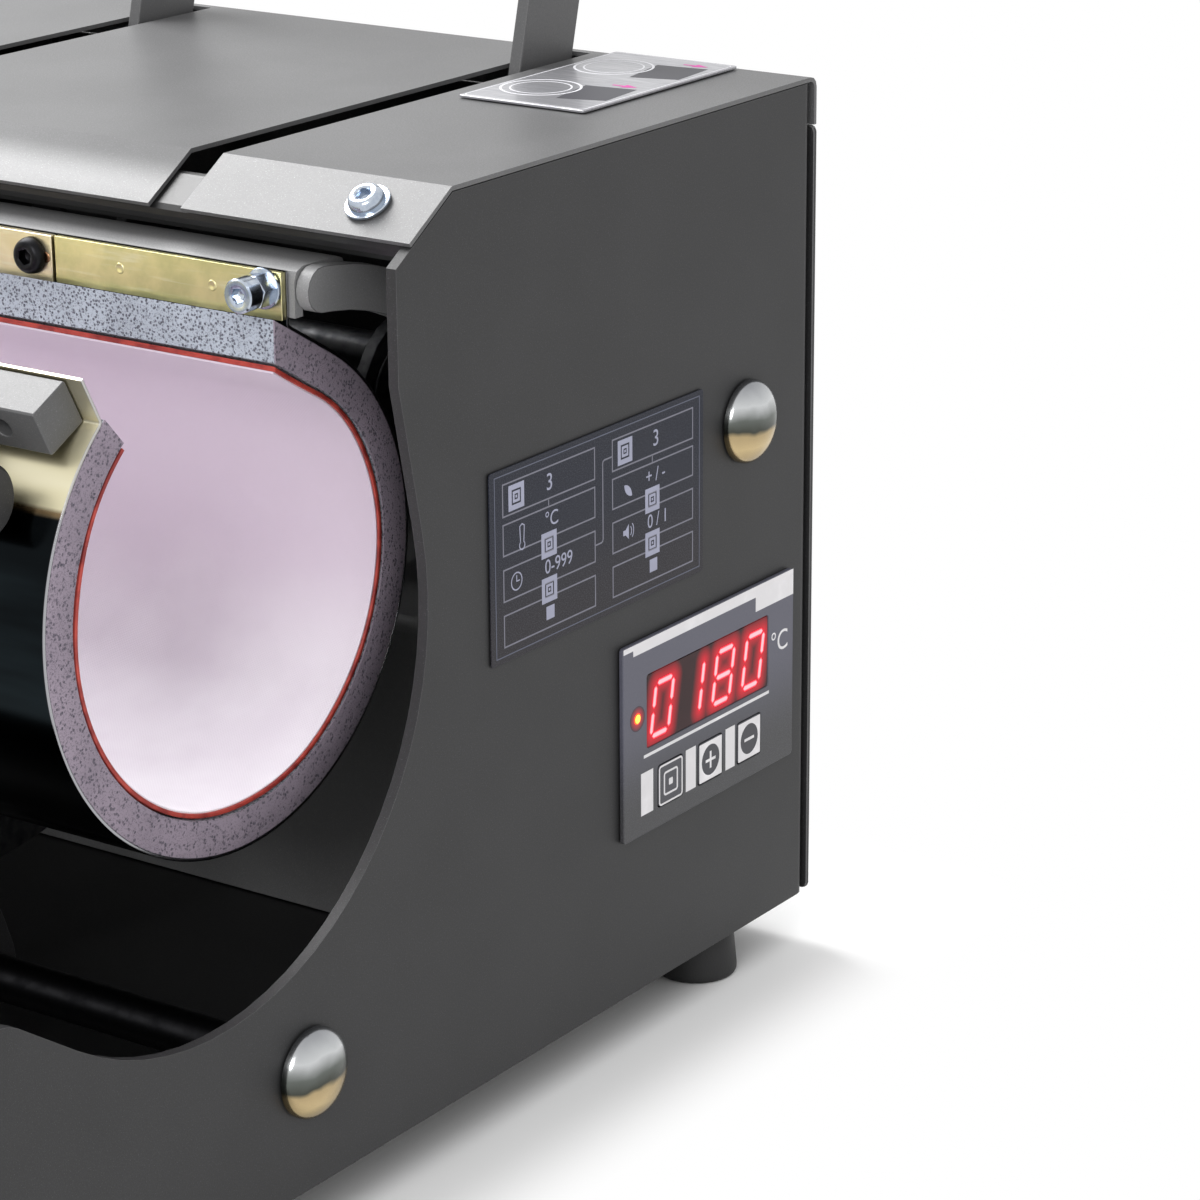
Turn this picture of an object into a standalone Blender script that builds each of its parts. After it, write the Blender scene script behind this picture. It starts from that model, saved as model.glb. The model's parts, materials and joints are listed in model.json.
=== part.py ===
"""Tumbler heat press: a looped heater band between a fixed upper jaw and a front jaw that a handle pulls shut.

Metres, +Z up, -Y to the front, +X to the side that carries the controller. The origin is on the table, under
the middle of the whole press. Shapes that lie across the press are drawn in side view as (forward, down):
forward of the side plates' rear edge, and down from their top edge.
"""

from math import acos, atan2, cos, degrees, pi, radians, sin, tan

import bmesh
import bpy
from mathutils import Matrix, Vector

# Clearances

GAP = 0.0003
OVERRUN = 0.002
WELD_DISTANCE = 0.000001
MATCH_DISTANCE = 0.00001

# Housing

BODY_SIDE_ROOM = 0.033
PLATE_THICKNESS = 0.003
PLATE_BEND_RADIUS = 0.0045
PLATE_FLANGE_WIDTH = 0.012
PLATE_CORNER_RADIUS = 0.008
PLATE_REAR_RADIUS = 0.0025
TOP_LENGTH = 0.1667
LIP_RUN = 0.0232
LIP_DROP = 0.0146
THROAT_FROM_CHIN = 0.0761
THROAT_DOWN = 0.100
THROAT_RADIUS = 0.086
THROAT_CORNER_DOWN = 0.044
HEIGHT_BELOW_THROAT = 0.054
HORN_REACH = 0.086
HORN_SLOPE_DEG = 34
HORN_RADIUS = 0.012

COVER_THICKNESS = 0.0012
COVER_LIP_LENGTH = 0.020
COVER_REAR_DROP = 0.012
COVER_BEND_RADIUS = 0.0025
SLOT_WIDTH = 0.0106
SLOT_REAR = 0.0045

BEAM_THICKNESS = 0.002
BEAM_SETBACK = 0.005
BEAM_FACE_LENGTH = 0.019
BEAM_HEM = 0.004
BEAM_BEND_RADIUS = 0.0012

PAN_THICKNESS = 0.0015
PAN_RAISE = 0.0025
PAN_FRONT_INSET = 0.006
PAN_FRONT_HEIGHT = 0.066
PAN_FRONT_HEM = 0.010
PAN_REAR_INSET = 0.006
PAN_REAR_HEIGHT = 0.010
SHEET_BEND_RADIUS = 0.003

BAY_FRONT = 0.100
BAY_TOP_DOWN = 0.141
BAY_THICKNESS = 0.0015
BAY_REAR_INSET = 0.0035

REAR_PANEL_THICKNESS = 0.0015
REAR_PANEL_CORNER = 0.0015

FOOT_RADIUS = 0.012
FOOT_TOP_RADIUS = 0.0105
FOOT_HEIGHT = 0.016
FOOT_EDGE = 0.0015
FOOT_RECESS_RADIUS = 0.004
FOOT_RECESS_DEPTH = 0.006
FOOT_INSET = 0.015
FOOT_REAR_INSET = 0.036
FOOT_FRONT_INSET = 0.034

# Shafts and their caps

REAR_SHAFT_FORWARD = 0.0344
REAR_SHAFT_DOWN = 0.0887
REAR_SHAFT_RADIUS = 0.007
FRONT_AXLE_FROM_LOOP = 0.0182
FRONT_AXLE_BELOW_THROAT = 0.0222
FRONT_AXLE_RADIUS = 0.006
SHAFT_CHAMFER = 0.0008
CAP_RADIUS = 0.01175
CAP_HEIGHT = 0.0065
CAP_RIM = 0.001

# Heater band

LOOP_BEHIND_THROAT = 0.052
LOOP_ABOVE_THROAT = 0.007
LOOP_RADIUS = 0.0695
LOOP_SHOULDER_DEG = 152
LOOP_SHOULDER_RADIUS = 0.030
LOOP_ENTRY_SLOPE_DEG = 31
BAND_WIDTH = 0.228
BAND_TOP_REACH = 0.006
BAND_FRONT_END_DEG = 409.5
STRAP_THICKNESS = 0.0008
STRAP_BEND_RADIUS = 0.0012
STRAP_TURN_OFF_DEG = 2
FOAM_THICKNESS = 0.0095
MAT_THICKNESS = 0.0015

# Upper jaw

CROSSBAR_BEHIND_LOOP = 0.024
CROSSBAR_BELOW_LIP = 0.0039
CROSSBAR_DEPTH = 0.020
CROSSBAR_DROP = 0.0125
CROSSBAR_THICKNESS = 0.003
CROSSBAR_BEND_RADIUS = 0.002
CROSSBAR_ARM_THICKNESS = 0.004
CROSSBAR_ARM_BAND_GAP = 0.002
CROSSBAR_ARM_HALF_WIDTH = 0.0058
CROSSBAR_ARM_EYE = 0.014
CROSSBAR_ARM_EYE_REACH = 0.056
CROSSBAR_ARM_KNEE_SETBACK = 0.025
CROSSBAR_ARM_KNEE_DROP = 0.008
CROSSBAR_ARM_KNEE_RADIUS = 0.090
STRIP_THICKNESS = 0.0016
STRIP_DROP = 0.0007
STRIP_HEIGHT = 0.012
CENTRE_PLATE_THICKNESS = 0.0022
CENTRE_PLATE_HALF_WIDTH = 0.040
STRAP_SCREW_INSET = 0.005
STRAP_SCREW_DROP = 0.0043
STRAP_NUT_RADIUS = 0.0046
STRAP_NUT_HEIGHT = 0.0045
STRAP_WASHER_RADIUS = 0.0052
STRAP_WASHER_HEIGHT = 0.001
STRAP_HEAD_RADIUS = 0.00435
STRAP_HEAD_HEIGHT = 0.005
PLATE_SCREW_INSET = 0.007
PLATE_SCREW_DROP = 0.0058

# Fasteners

SCREW_SHANK_RADIUS = 0.0025
SCREW_SHANK_LENGTH = 0.009
SOCKET_RADIUS = 0.0022
SOCKET_DEPTH = 0.002
BUTTON_HEAD_RADIUS = 0.0048
BUTTON_HEAD_HEIGHT = 0.0028
BUTTON_HEAD_CROWN = 0.003
BUTTON_FLANGE_RADIUS = 0.006
BUTTON_FLANGE_HEIGHT = 0.001
COVER_SCREW_INSET = 0.019
COVER_SCREW_ALONG = 0.0095

# Front jaw

CLAMP_BAR_SIDE = 0.0125
CLAMP_BAR_TILT_DEG = 27
CLAMP_BAR_OUT = 0.0078
CLAMP_BAR_ANGLE_DEG = 44.63
CLAMP_BAR_INSET = 0.005
CLAMP_BAR_SOFTNESS = 0.0005
CLAMP_BOLT_INSET = 0.0125
CLAMP_BOLT_SHANK = 0.010
STRAP_FLANGE_REACH = 0.0068
FRONT_ARM_THICKNESS = 0.004
FRONT_ARM_BAND_INSET = 0.080
FRONT_ARM_HALF_WIDTH = 0.0092
FRONT_ARM_EYE = 0.013
FRONT_ARM_EYE_REACH = 0.026
FRONT_ARM_TIP_RADIUS = 0.0124
FRONT_ARM_BEND_RADIUS = 0.016
FRONT_ARM_BAND_GAP = 0.0051
FRONT_ARM_BOW_START_DEG = 14
FRONT_ARM_BOW_FINISH_DEG = 8
TIP_OUT = 0.0137
TIP_ANGLE_DEG = 27.18
CROSS_TUBE_RADIUS = 0.009
CROSS_TUBE_INSET = 0.010
LUG_THICKNESS = 0.006
LUG_INSET = 0.031
LUG_EYE = 0.0115
LUG_FOOT = 0.0052

# Linkage

HANDLE_SWING_DEG = 62
JAW_SWING_DEG = 15
LINK_PIN_OUT = 0.0137
LINK_PIN_ANGLE_DEG = -71.78
LINK_PIN_RADIUS = 0.004
LINK_PIN_PLAY = 0.002
LINK_PIN_HEAD_RADIUS = 0.0072
LINK_PIN_HEAD = 0.002
LINK_ARM_GAP = 0.0015
LINK_THICKNESS = 0.004
LINK_HALF_WIDTH = 0.0065
LINK_EYE = 0.0100
LINK_BAND_GAP = 0.006
LINK_BEND_FINISH_DEG = 8
LINK_SIDE_PLAY = 0.0009
ECCENTRIC_RADIUS = 0.018
ECCENTRIC_THICKNESS = 0.005
LINK_RING_WALL = 0.0057
LINK_RING_REACH = 0.0384

# Handle

HANDLE_FROM_LINK = 0.0415
HANDLE_ARM_THICKNESS = 0.004
HANDLE_ARM_HALF_WIDTH = 0.0123
HANDLE_ARM_EYE = 0.017
HANDLE_ARM_EYE_REACH = 0.034
HANDLE_LEAN_DEG = 14.5
HANDLE_KNEE_FORWARD = 0.027
HANDLE_KNEE_DOWN = 0.020
HANDLE_KNEE_RADIUS = 0.060
HANDLE_RISE = 0.190
GRIP_RADIUS = 0.014
GRIP_NECK_RADIUS = 0.0115
GRIP_NECK_LENGTH = 0.006
GRIP_RIB_DEPTH = 0.0006
GRIP_RIBS = 3

# Controller and labels

PANEL_REAR = 0.011
PANEL_TOP = 0.1373
PANEL_LENGTH = 0.086
PANEL_HEIGHT = 0.0562
PANEL_THICKNESS = 0.0014
PANEL_CORNER = 0.001
WINDOW_REAR = 0.0242
WINDOW_TOP = 0.1477
WINDOW_LENGTH = 0.0614
WINDOW_HEIGHT = 0.0213
WINDOW_THICKNESS = 0.0012
WINDOW_CORNER = 0.0008
BUTTON_SIZE = 0.0125
BUTTON_THICKNESS = 0.0018
BUTTON_CORNER = 0.0010
BUTTON_REAR = 0.0342
BUTTON_PITCH = 0.0200
BUTTON_DOWN = 0.1818
BUTTON_TRAVEL = 0.0005
BUTTON_WORDS = ("minus", "plus", "set")
MODULE_MARGIN = 0.0025
MODULE_DEPTH = 0.034

SIDE_LABEL_REAR = 0.0565
SIDE_LABEL_TOP = 0.0744
SIDE_LABEL_LENGTH = 0.0983
SIDE_LABEL_HEIGHT = 0.0516
LABEL_THICKNESS = 0.0004
LABEL_CORNER = 0.0008
TOP_LABEL_REAR = 0.003
TOP_LABEL_LENGTH = 0.075
TOP_LABEL_INSET = 0.023
TOP_LABEL_WIDTH = 0.041
TOP_LABEL_THICKNESS = 0.0008

# Mains inlet and rocker

INLET_ACROSS = 0.080
INLET_ABOVE_PAN = 0.00425
INLET_WIDTH = 0.030
INLET_HEIGHT = 0.048
INLET_BEZEL = 0.0025
INLET_BODY_WIDTH = 0.027
INLET_BODY_HEIGHT = 0.045
INLET_BODY_DEPTH = 0.022
INLET_CORNER = 0.002
INLET_BODY_CORNER = 0.0008
SOCKET_WIDTH = 0.0245
SOCKET_HEIGHT = 0.0165
SOCKET_CORNER = 0.0045
SOCKET_POCKET = 0.017
SOCKET_DROP = 0.0115
CONTACT_WIDTH = 0.002
CONTACT_HEIGHT = 0.004
CONTACT_LENGTH = 0.010
CONTACT_SPREAD = 0.007
CONTACT_RISE = 0.002
ROCKER_WIDTH = 0.0190
ROCKER_HEIGHT = 0.0120
ROCKER_RISE = 0.0125
ROCKER_POCKET = 0.010
ROCKER_PROUD = 0.0022
ROCKER_DISH = 0.0016
ROCKER_DEPTH = 0.0060
ROCKER_CORNER = 0.0008
ROCKER_SWING_DEG = 12

# Roundness

ARC_SAG = 0.0001
ROUND_STEPS = 24
SMALL_STEPS = 12
CAP_STEPS = 5
HEAD_STEPS = 2
SMOOTH_ANGLE_DEG = 34

# Places worked out from the sizes above

BAND_HALF = BAND_WIDTH / 2
HALF_WIDTH = BAND_HALF + BODY_SIDE_ROOM
INSIDE = HALF_WIDTH - PLATE_THICKNESS
CHIN_FORWARD = TOP_LENGTH + LIP_RUN
CHIN_DOWN = LIP_DROP
THROAT_FORWARD = CHIN_FORWARD + THROAT_FROM_CHIN
BODY_DEPTH = THROAT_FORWARD + HORN_REACH
BODY_HEIGHT = THROAT_DOWN + THROAT_RADIUS + HEIGHT_BELOW_THROAT
LIP_ANGLE = atan2(LIP_DROP, LIP_RUN)
LOOP_CENTRE = Vector((THROAT_FORWARD - LOOP_BEHIND_THROAT, THROAT_DOWN - LOOP_ABOVE_THROAT))
REAR_SHAFT = Vector((REAR_SHAFT_FORWARD, REAR_SHAFT_DOWN))
FRONT_AXLE = Vector(
    (
        LOOP_CENTRE.x + FRONT_AXLE_FROM_LOOP,
        THROAT_DOWN + THROAT_RADIUS + FRONT_AXLE_BELOW_THROAT,
    )
)


def off_loop(out, turn):
    """A side-view place outside the band's loop, at an angle with 0 forward and 90 up."""
    reach = LOOP_RADIUS + out
    return LOOP_CENTRE + reach * Vector((cos(radians(turn)), -sin(radians(turn))))


CLAMP_BAR = off_loop(CLAMP_BAR_OUT, CLAMP_BAR_ANGLE_DEG)
ARM_TIP = off_loop(TIP_OUT, TIP_ANGLE_DEG)
LINK_PIN = off_loop(LINK_PIN_OUT, LINK_PIN_ANGLE_DEG)
FRONT_ARM_BOW_RADIUS = LOOP_RADIUS + FRONT_ARM_BAND_GAP + FRONT_ARM_HALF_WIDTH
LINK_BEND_RADIUS = LOOP_RADIUS + LINK_BAND_GAP + LINK_HALF_WIDTH
CROSSBAR_FRONT = LOOP_CENTRE.x - CROSSBAR_BEHIND_LOOP
CROSSBAR_TOP = CHIN_DOWN + CROSSBAR_BELOW_LIP
BAND_TOP_END = CROSSBAR_FRONT + BAND_TOP_REACH
STRIP_TOP = CROSSBAR_TOP + STRIP_DROP
STRAP_SCREW_ACROSS = BAND_HALF - STRAP_SCREW_INSET
PLATE_SCREW_ACROSS = CENTRE_PLATE_HALF_WIDTH - PLATE_SCREW_INSET
CROSSBAR_ARM_INSIDE = BAND_HALF + CROSSBAR_ARM_BAND_GAP
CLAMP_BAR_HALF = BAND_HALF - CLAMP_BAR_INSET
FRONT_ARM_INSIDE = BAND_HALF - FRONT_ARM_BAND_INSET
LINK_INSIDE = FRONT_ARM_INSIDE - LINK_ARM_GAP - LINK_THICKNESS
LUG_INSIDE = CLAMP_BAR_HALF - LUG_INSET
HANDLE_ACROSS = LINK_INSIDE + HANDLE_FROM_LINK
PAN_REAR_TOP = BODY_HEIGHT - PAN_RAISE - PAN_THICKNESS / 2 - PAN_REAR_HEIGHT
INLET_DOWN = PAN_REAR_TOP - INLET_ABOVE_PAN - INLET_BODY_HEIGHT / 2
FOAM_START = STRAP_THICKNESS + GAP
MAT_START = FOAM_START + FOAM_THICKNESS + GAP

HANDLE_TOP = Vector(
    (
        HANDLE_KNEE_FORWARD - (HANDLE_KNEE_DOWN + HANDLE_RISE) * tan(radians(HANDLE_LEAN_DEG)),
        -HANDLE_RISE,
    )
)
MIDDLE_FORWARD = (BODY_DEPTH + HANDLE_TOP.x - GRIP_RADIUS) / 2
TOP_Z = BODY_HEIGHT + FOOT_HEIGHT

PULL = (LINK_PIN - REAR_SHAFT).normalized()
PULL_ANGLE = atan2(PULL.y, PULL.x)
LEVER_RADIUS = (LINK_PIN - FRONT_AXLE).length
CRANK_RADIUS = LEVER_RADIUS * sin(radians(JAW_SWING_DEG) / 2) / sin(radians(HANDLE_SWING_DEG) / 2)
CRANK_ANGLE = radians(HANDLE_SWING_DEG) / 2 - PULL_ANGLE
ECCENTRIC = REAR_SHAFT + CRANK_RADIUS * Vector((sin(CRANK_ANGLE), cos(CRANK_ANGLE)))


def side(point):
    """Turn a (forward, down) place of the side view into world (y, z)."""
    return MIDDLE_FORWARD - point[0], TOP_Z - point[1]


def at(across, point):
    """World place of a side-view point at a distance across from the middle."""
    y, z = side(point)
    return Vector((across, y, z))


# Side-view drawing


def arc(centre, radius, start, end):
    """Points along an arc; angles in degrees, 0 forward, 90 up, 180 to the rear."""
    step = 2 * degrees(acos(max(0.5, 1 - ARC_SAG / radius)))
    steps = max(2, round(abs(end - start) / step))
    angles = [radians(start + (end - start) * step / steps) for step in range(steps + 1)]
    return [Vector((centre[0] + radius * cos(a), centre[1] - radius * sin(a))) for a in angles]


def ring(centre, radius):
    """A full circle as a closed outline."""
    return arc(centre, radius, 0, 360)[:-1]


def angle_of(vector):
    """Drawing angle of a side-view direction, in degrees."""
    return degrees(atan2(-vector[1], vector[0]))


def bend(before, corner, after, radius):
    """Round one corner of a path with a fillet."""
    corner = Vector(corner)
    back = (Vector(before) - corner).normalized()
    ahead = (Vector(after) - corner).normalized()
    half = acos(max(-1, min(1, back.dot(ahead)))) / 2
    if radius <= 0 or half > radians(89.5):
        return [corner]
    reach = min(radius / tan(half), (Vector(before) - corner).length, (Vector(after) - corner).length)
    radius = reach * tan(half)
    centre = corner + (back + ahead).normalized() * radius / sin(half)
    start = angle_of(corner + back * reach - centre)
    turn = (angle_of(corner + ahead * reach - centre) - start + 180) % 360 - 180
    return arc(centre, radius, start, start + turn)


def apart(points):
    """The same points without any that repeats the one before it."""
    kept = [points[0]]
    for point in points[1:]:
        if (point - kept[-1]).length > MATCH_DISTANCE:
            kept.append(point)
    return kept


def bent_path(corners, radius):
    """An open path whose inner corners are all rounded alike."""
    points = [Vector(corners[0])]
    for before, corner, after in zip(corners, corners[1:], corners[2:]):
        points += bend(before, corner, after, radius)
    return apart(points + [Vector(corners[-1])])


def rounded(corners, radii):
    """A closed outline whose corners are rounded, each by its own radius."""
    points = []
    for index, corner in enumerate(corners):
        after = corners[(index + 1) % len(corners)]
        points += bend(corners[index - 1], corner, after, radii[index])
    return points


def box_outline(low, high, radius):
    """A rectangle with rounded corners, from its low and high corner."""
    corners = [(low[0], low[1]), (high[0], low[1]), (high[0], high[1]), (low[0], high[1])]
    return rounded(corners, [radius] * 4)


def directions(path):
    """Unit direction of a path at each of its points."""
    found = []
    for index in range(len(path)):
        before = path[max(index - 1, 0)]
        after = path[min(index + 1, len(path) - 1)]
        found.append((after - before).normalized())
    return found


def beside(path, widths):
    """Both edges of a path, each point at its own half width from it."""
    normals = [Vector((way.y, -way.x)) for way in directions(path)]
    left = [point + normal * width for point, normal, width in zip(path, normals, widths)]
    right = [point - normal * width for point, normal, width in zip(path, normals, widths)]
    return left, right


def sheet(path, thickness):
    """Outline of bent sheet metal along the middle of its thickness, cut square at both ends."""
    ways = directions(path)
    left, right = [], []
    for index, point in enumerate(path):
        before = (point - path[index - 1]).normalized() if index else ways[index]
        spread = thickness / 2 / max(0.5, before.dot(ways[index]))
        normal = Vector((ways[index].y, -ways[index].x))
        left.append(point + normal * spread)
        right.append(point - normal * spread)
    return left + right[::-1]


def forged(path, widths):
    """Outline of a bar of changing width with round ends."""
    left, right = beside(path, widths)
    ways = directions(path)
    finish = angle_of(ways[-1])
    start = angle_of(ways[0])
    far_end = arc(path[-1], widths[-1], finish + 90, finish - 90)
    near_end = arc(path[0], widths[0], start - 90, start - 270)
    return left[:-1] + far_end + right[-2:0:-1] + near_end[:-1]


def along(path, spacing):
    """The same path with points at an even spacing."""
    points = [path[0]]
    for before, after in zip(path, path[1:]):
        steps = max(1, round((after - before).length / spacing))
        points += [before.lerp(after, step / steps) for step in range(1, steps + 1)]
    return points


def eased(path, first, middle, last, reach):
    """Half widths that ease from the first eye to the bar and on to the last eye."""
    lengths = [0]
    for before, after in zip(path, path[1:]):
        lengths.append(lengths[-1] + (after - before).length)
    widths = []
    for length in lengths:
        near = max(0, 1 - length / reach)
        far = max(0, 1 - (lengths[-1] - length) / reach)
        near = near * near * (3 - 2 * near)
        far = far * far * (3 - 2 * far)
        widths.append(middle + (first - middle) * near + (last - middle) * far)
    return widths


# Building


def clear_scene():
    """Remove what the new file holds."""
    for thing in list(bpy.data.objects):
        bpy.data.objects.remove(thing, do_unlink=True)


def collection(name):
    """A collection of its own in the scene."""
    group = bpy.data.collections.new(name)
    bpy.context.scene.collection.children.link(group)
    return group


def paint(name, colour, roughness, metallic=0.0):
    """A Principled material."""
    material = bpy.data.materials.new(name)
    material.use_nodes = True
    shader = material.node_tree.nodes["Principled BSDF"]
    shader.inputs["Base Color"].default_value = (*colour, 1)
    shader.inputs["Roughness"].default_value = roughness
    shader.inputs["Metallic"].default_value = metallic
    material.diffuse_color = (*colour, 1)
    return material


def place(name, mesh, matrix, material, group):
    """Put a mesh in the scene as a named object."""
    thing = bpy.data.objects.new(name, mesh)
    thing.matrix_world = matrix
    group.objects.link(thing)
    if material:
        mesh.materials.clear()
        mesh.materials.append(material)
    mesh.shade_smooth()
    mesh.set_sharp_from_angle(angle=radians(SMOOTH_ANGLE_DEG))
    return thing


def tidy_mesh(mesh):
    """Weld the caps of a converted curve to its sides."""
    work = bmesh.new()
    work.from_mesh(mesh)
    bmesh.ops.remove_doubles(work, verts=work.verts, dist=WELD_DISTANCE)
    bmesh.ops.recalc_face_normals(work, faces=work.faces)
    work.to_mesh(mesh)
    work.free()


def extruded(name, outlines, thickness, matrix, material, group):
    """A flat outline, with any holes, filled and given its thickness as a mesh."""
    curve = bpy.data.curves.new(name + "_outline", "CURVE")
    curve.dimensions = "2D"
    curve.fill_mode = "BOTH"
    curve.extrude = thickness / 2
    for outline in outlines:
        spline = curve.splines.new("POLY")
        spline.points.add(len(outline) - 1)
        for point, corner in zip(spline.points, outline):
            point.co = (corner[0], corner[1], 0, 1)
        spline.use_cyclic_u = True
    drawn = bpy.data.objects.new(name + "_outline", curve)
    drawn.matrix_world = matrix
    group.objects.link(drawn)
    bpy.context.view_layer.update()
    ready = drawn.evaluated_get(bpy.context.evaluated_depsgraph_get())
    mesh = bpy.data.meshes.new_from_object(ready)
    mesh.name = name
    bpy.data.objects.remove(drawn, do_unlink=True)
    bpy.data.curves.remove(curve)
    tidy_mesh(mesh)
    return place(name, mesh, matrix, material, group)


def across(name, outlines, low, high, material, group):
    """A side-view outline extruded across the press, from x low to x high."""
    turn = Matrix.Rotation(pi / 2, 4, "Z") @ Matrix.Rotation(pi / 2, 4, "X")
    matrix = Matrix.Translation(((low + high) / 2, 0, 0)) @ turn
    drawn = [[side(point) for point in outline] for outline in outlines]
    return extruded(name, drawn, high - low, matrix, material, group)


def turned(name, profile, matrix, material, group, steps=ROUND_STEPS):
    """A turned shape: its profile, (radius, height) from top to bottom, swept round its own Z."""
    mesh = bpy.data.meshes.new(name)
    points = [(radius, 0, height) for radius, height in profile]
    edges = [(index, index + 1) for index in range(len(points) - 1)]
    mesh.from_pydata(points, edges, [])
    thing = place(name, mesh, matrix, material, group)
    screw = thing.modifiers.new("Turn", "SCREW")
    screw.axis = "Z"
    screw.angle = 2 * pi
    screw.steps = steps
    screw.render_steps = steps
    screw.use_merge_vertices = True
    screw.merge_threshold = WELD_DISTANCE
    screw.use_smooth_shade = True
    return thing


def rod(name, start, end, radius, material, group, segments=ROUND_STEPS):
    """A plain cylinder between two world places."""
    start = Vector(start)
    way = Vector(end) - start
    work = bmesh.new()
    bmesh.ops.create_cone(
        work,
        cap_ends=True,
        segments=segments,
        radius1=radius,
        radius2=radius,
        depth=way.length,
    )
    mesh = bpy.data.meshes.new(name)
    work.to_mesh(mesh)
    work.free()
    matrix = Matrix.Translation(start + way / 2) @ aimed(way)
    return place(name, mesh, matrix, material, group)


def block(name, centre, size, material, group):
    """A box from its world centre and size."""
    work = bmesh.new()
    bmesh.ops.create_cube(work, size=1)
    bmesh.ops.scale(work, vec=size, verts=work.verts)
    mesh = bpy.data.meshes.new(name)
    work.to_mesh(mesh)
    work.free()
    return place(name, mesh, Matrix.Translation(centre), material, group)


def aimed(way):
    """The rotation that points local Z along a world direction."""
    return Vector((0, 0, 1)).rotation_difference(Vector(way).normalized()).to_matrix().to_4x4()


def combine(thing, tool, operation):
    """Cut a piece with a cutter, or weld a second shape to it."""
    boolean = thing.modifiers.new(operation.title(), "BOOLEAN")
    boolean.operation = operation
    boolean.solver = "EXACT"
    boolean.object = tool
    return thing


def cutter(thing):
    """Mark an object as a cutter."""
    thing.hide_render = True
    thing.display_type = "WIRE"
    return thing


def carried(pivot, things):
    """Parent pieces to the empty on their joint's axis, keeping their places."""
    bpy.context.view_layer.update()
    for thing in things:
        thing.parent = pivot
        thing.matrix_parent_inverse = pivot.matrix_world.inverted()


def pivot_at(name, spot, group):
    """An empty on a joint's axis."""
    pivot = bpy.data.objects.new(name, None)
    pivot.location = spot
    group.objects.link(pivot)
    return pivot


SIDES = {"right": 1, "left": -1}


# Side plates


def side_plate_outline():
    """The plate with its chamfered chin, its throat and its low front horn."""
    centre = Vector((THROAT_FORWARD, THROAT_DOWN))
    chin = Vector((CHIN_FORWARD, THROAT_CORNER_DOWN))
    to_chin = chin - centre
    tangent = angle_of(to_chin) + degrees(acos(THROAT_RADIUS / to_chin.length))
    throat = arc(centre, THROAT_RADIUS, tangent % 360, 270 + HORN_SLOPE_DEG)
    front = throat[-1]
    horn = Vector((BODY_DEPTH, front.y - (BODY_DEPTH - front.x) * tan(radians(HORN_SLOPE_DEG))))
    foot = Vector((BODY_DEPTH, BODY_HEIGHT))
    heel = Vector((0, BODY_HEIGHT))
    brow = Vector((TOP_LENGTH, 0))
    outline = bend(heel, (0, 0), brow, PLATE_REAR_RADIUS)
    outline += [brow, Vector((CHIN_FORWARD, CHIN_DOWN)), chin]
    outline += throat
    outline += bend(front, horn, foot, HORN_RADIUS)
    outline += bend(horn, foot, heel, PLATE_CORNER_RADIUS)
    return outline + [heel]


def controller_opening(margin):
    """The hole behind the controller panel, larger than the module by a margin."""
    low = (WINDOW_REAR - MODULE_MARGIN - margin, WINDOW_TOP - MODULE_MARGIN - margin)
    high = (
        WINDOW_REAR + WINDOW_LENGTH + MODULE_MARGIN + margin,
        BUTTON_DOWN + BUTTON_SIZE / 2 + MODULE_MARGIN + margin,
    )
    return low, high


def side_plate(name, way, material, parts, cutters):
    """One side plate with its bent rear flange."""
    holes = [
        ring(REAR_SHAFT, REAR_SHAFT_RADIUS + GAP),
        ring(FRONT_AXLE, FRONT_AXLE_RADIUS + GAP),
    ]
    if way > 0:
        holes.append(box_outline(*controller_opening(GAP), PANEL_CORNER))
    low, high = sorted((way * INSIDE, way * HALF_WIDTH))
    plate = across(name, [side_plate_outline()] + holes, low, high, material, parts)
    flange_top = PLATE_CORNER_RADIUS
    flange_bottom = BODY_HEIGHT - PLATE_CORNER_RADIUS
    middle = (PLATE_THICKNESS / 2, (flange_top + flange_bottom) / 2)
    reach = PLATE_FLANGE_WIDTH + PLATE_THICKNESS / 2
    flange = block(
        name + "_flange",
        at(way * (INSIDE + PLATE_THICKNESS / 2 - reach / 2), middle),
        (reach, PLATE_THICKNESS, flange_bottom - flange_top),
        material,
        cutters,
    )
    combine(plate, cutter(flange), "UNION")
    combine(plate, rear_bend(name + "_bend", way, cutters), "DIFFERENCE")
    return plate


def rear_bend(name, way, cutters):
    """What is cut off the outer rear edge, where the sheet is bent into its flange."""
    edge = way * HALF_WIDTH
    ahead = Vector((edge, -2 * PLATE_BEND_RADIUS))
    inward = Vector((edge - way * 2 * PLATE_BEND_RADIUS, 0))
    outline = bend(ahead, Vector((edge, 0)), inward, PLATE_BEND_RADIUS)
    outline.append(Vector((outline[-1].x, OVERRUN)))
    outline.append(Vector((edge + way * OVERRUN, OVERRUN)))
    outline.append(Vector((edge + way * OVERRUN, outline[0].y)))
    matrix = Matrix.Translation(at(0, (0, BODY_HEIGHT / 2)))
    return cutter(extruded(name, [outline], BODY_HEIGHT + 2 * OVERRUN, matrix, None, cutters))


# Sheet-metal skins


def on_lip(distance, depth):
    """A side-view place on the chamfer of the plates: along it, and in from it."""
    way = Vector((cos(LIP_ANGLE), sin(LIP_ANGLE)))
    inward = Vector((-sin(LIP_ANGLE), cos(LIP_ANGLE)))
    return Vector((TOP_LENGTH, 0)) + way * distance + inward * depth


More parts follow.
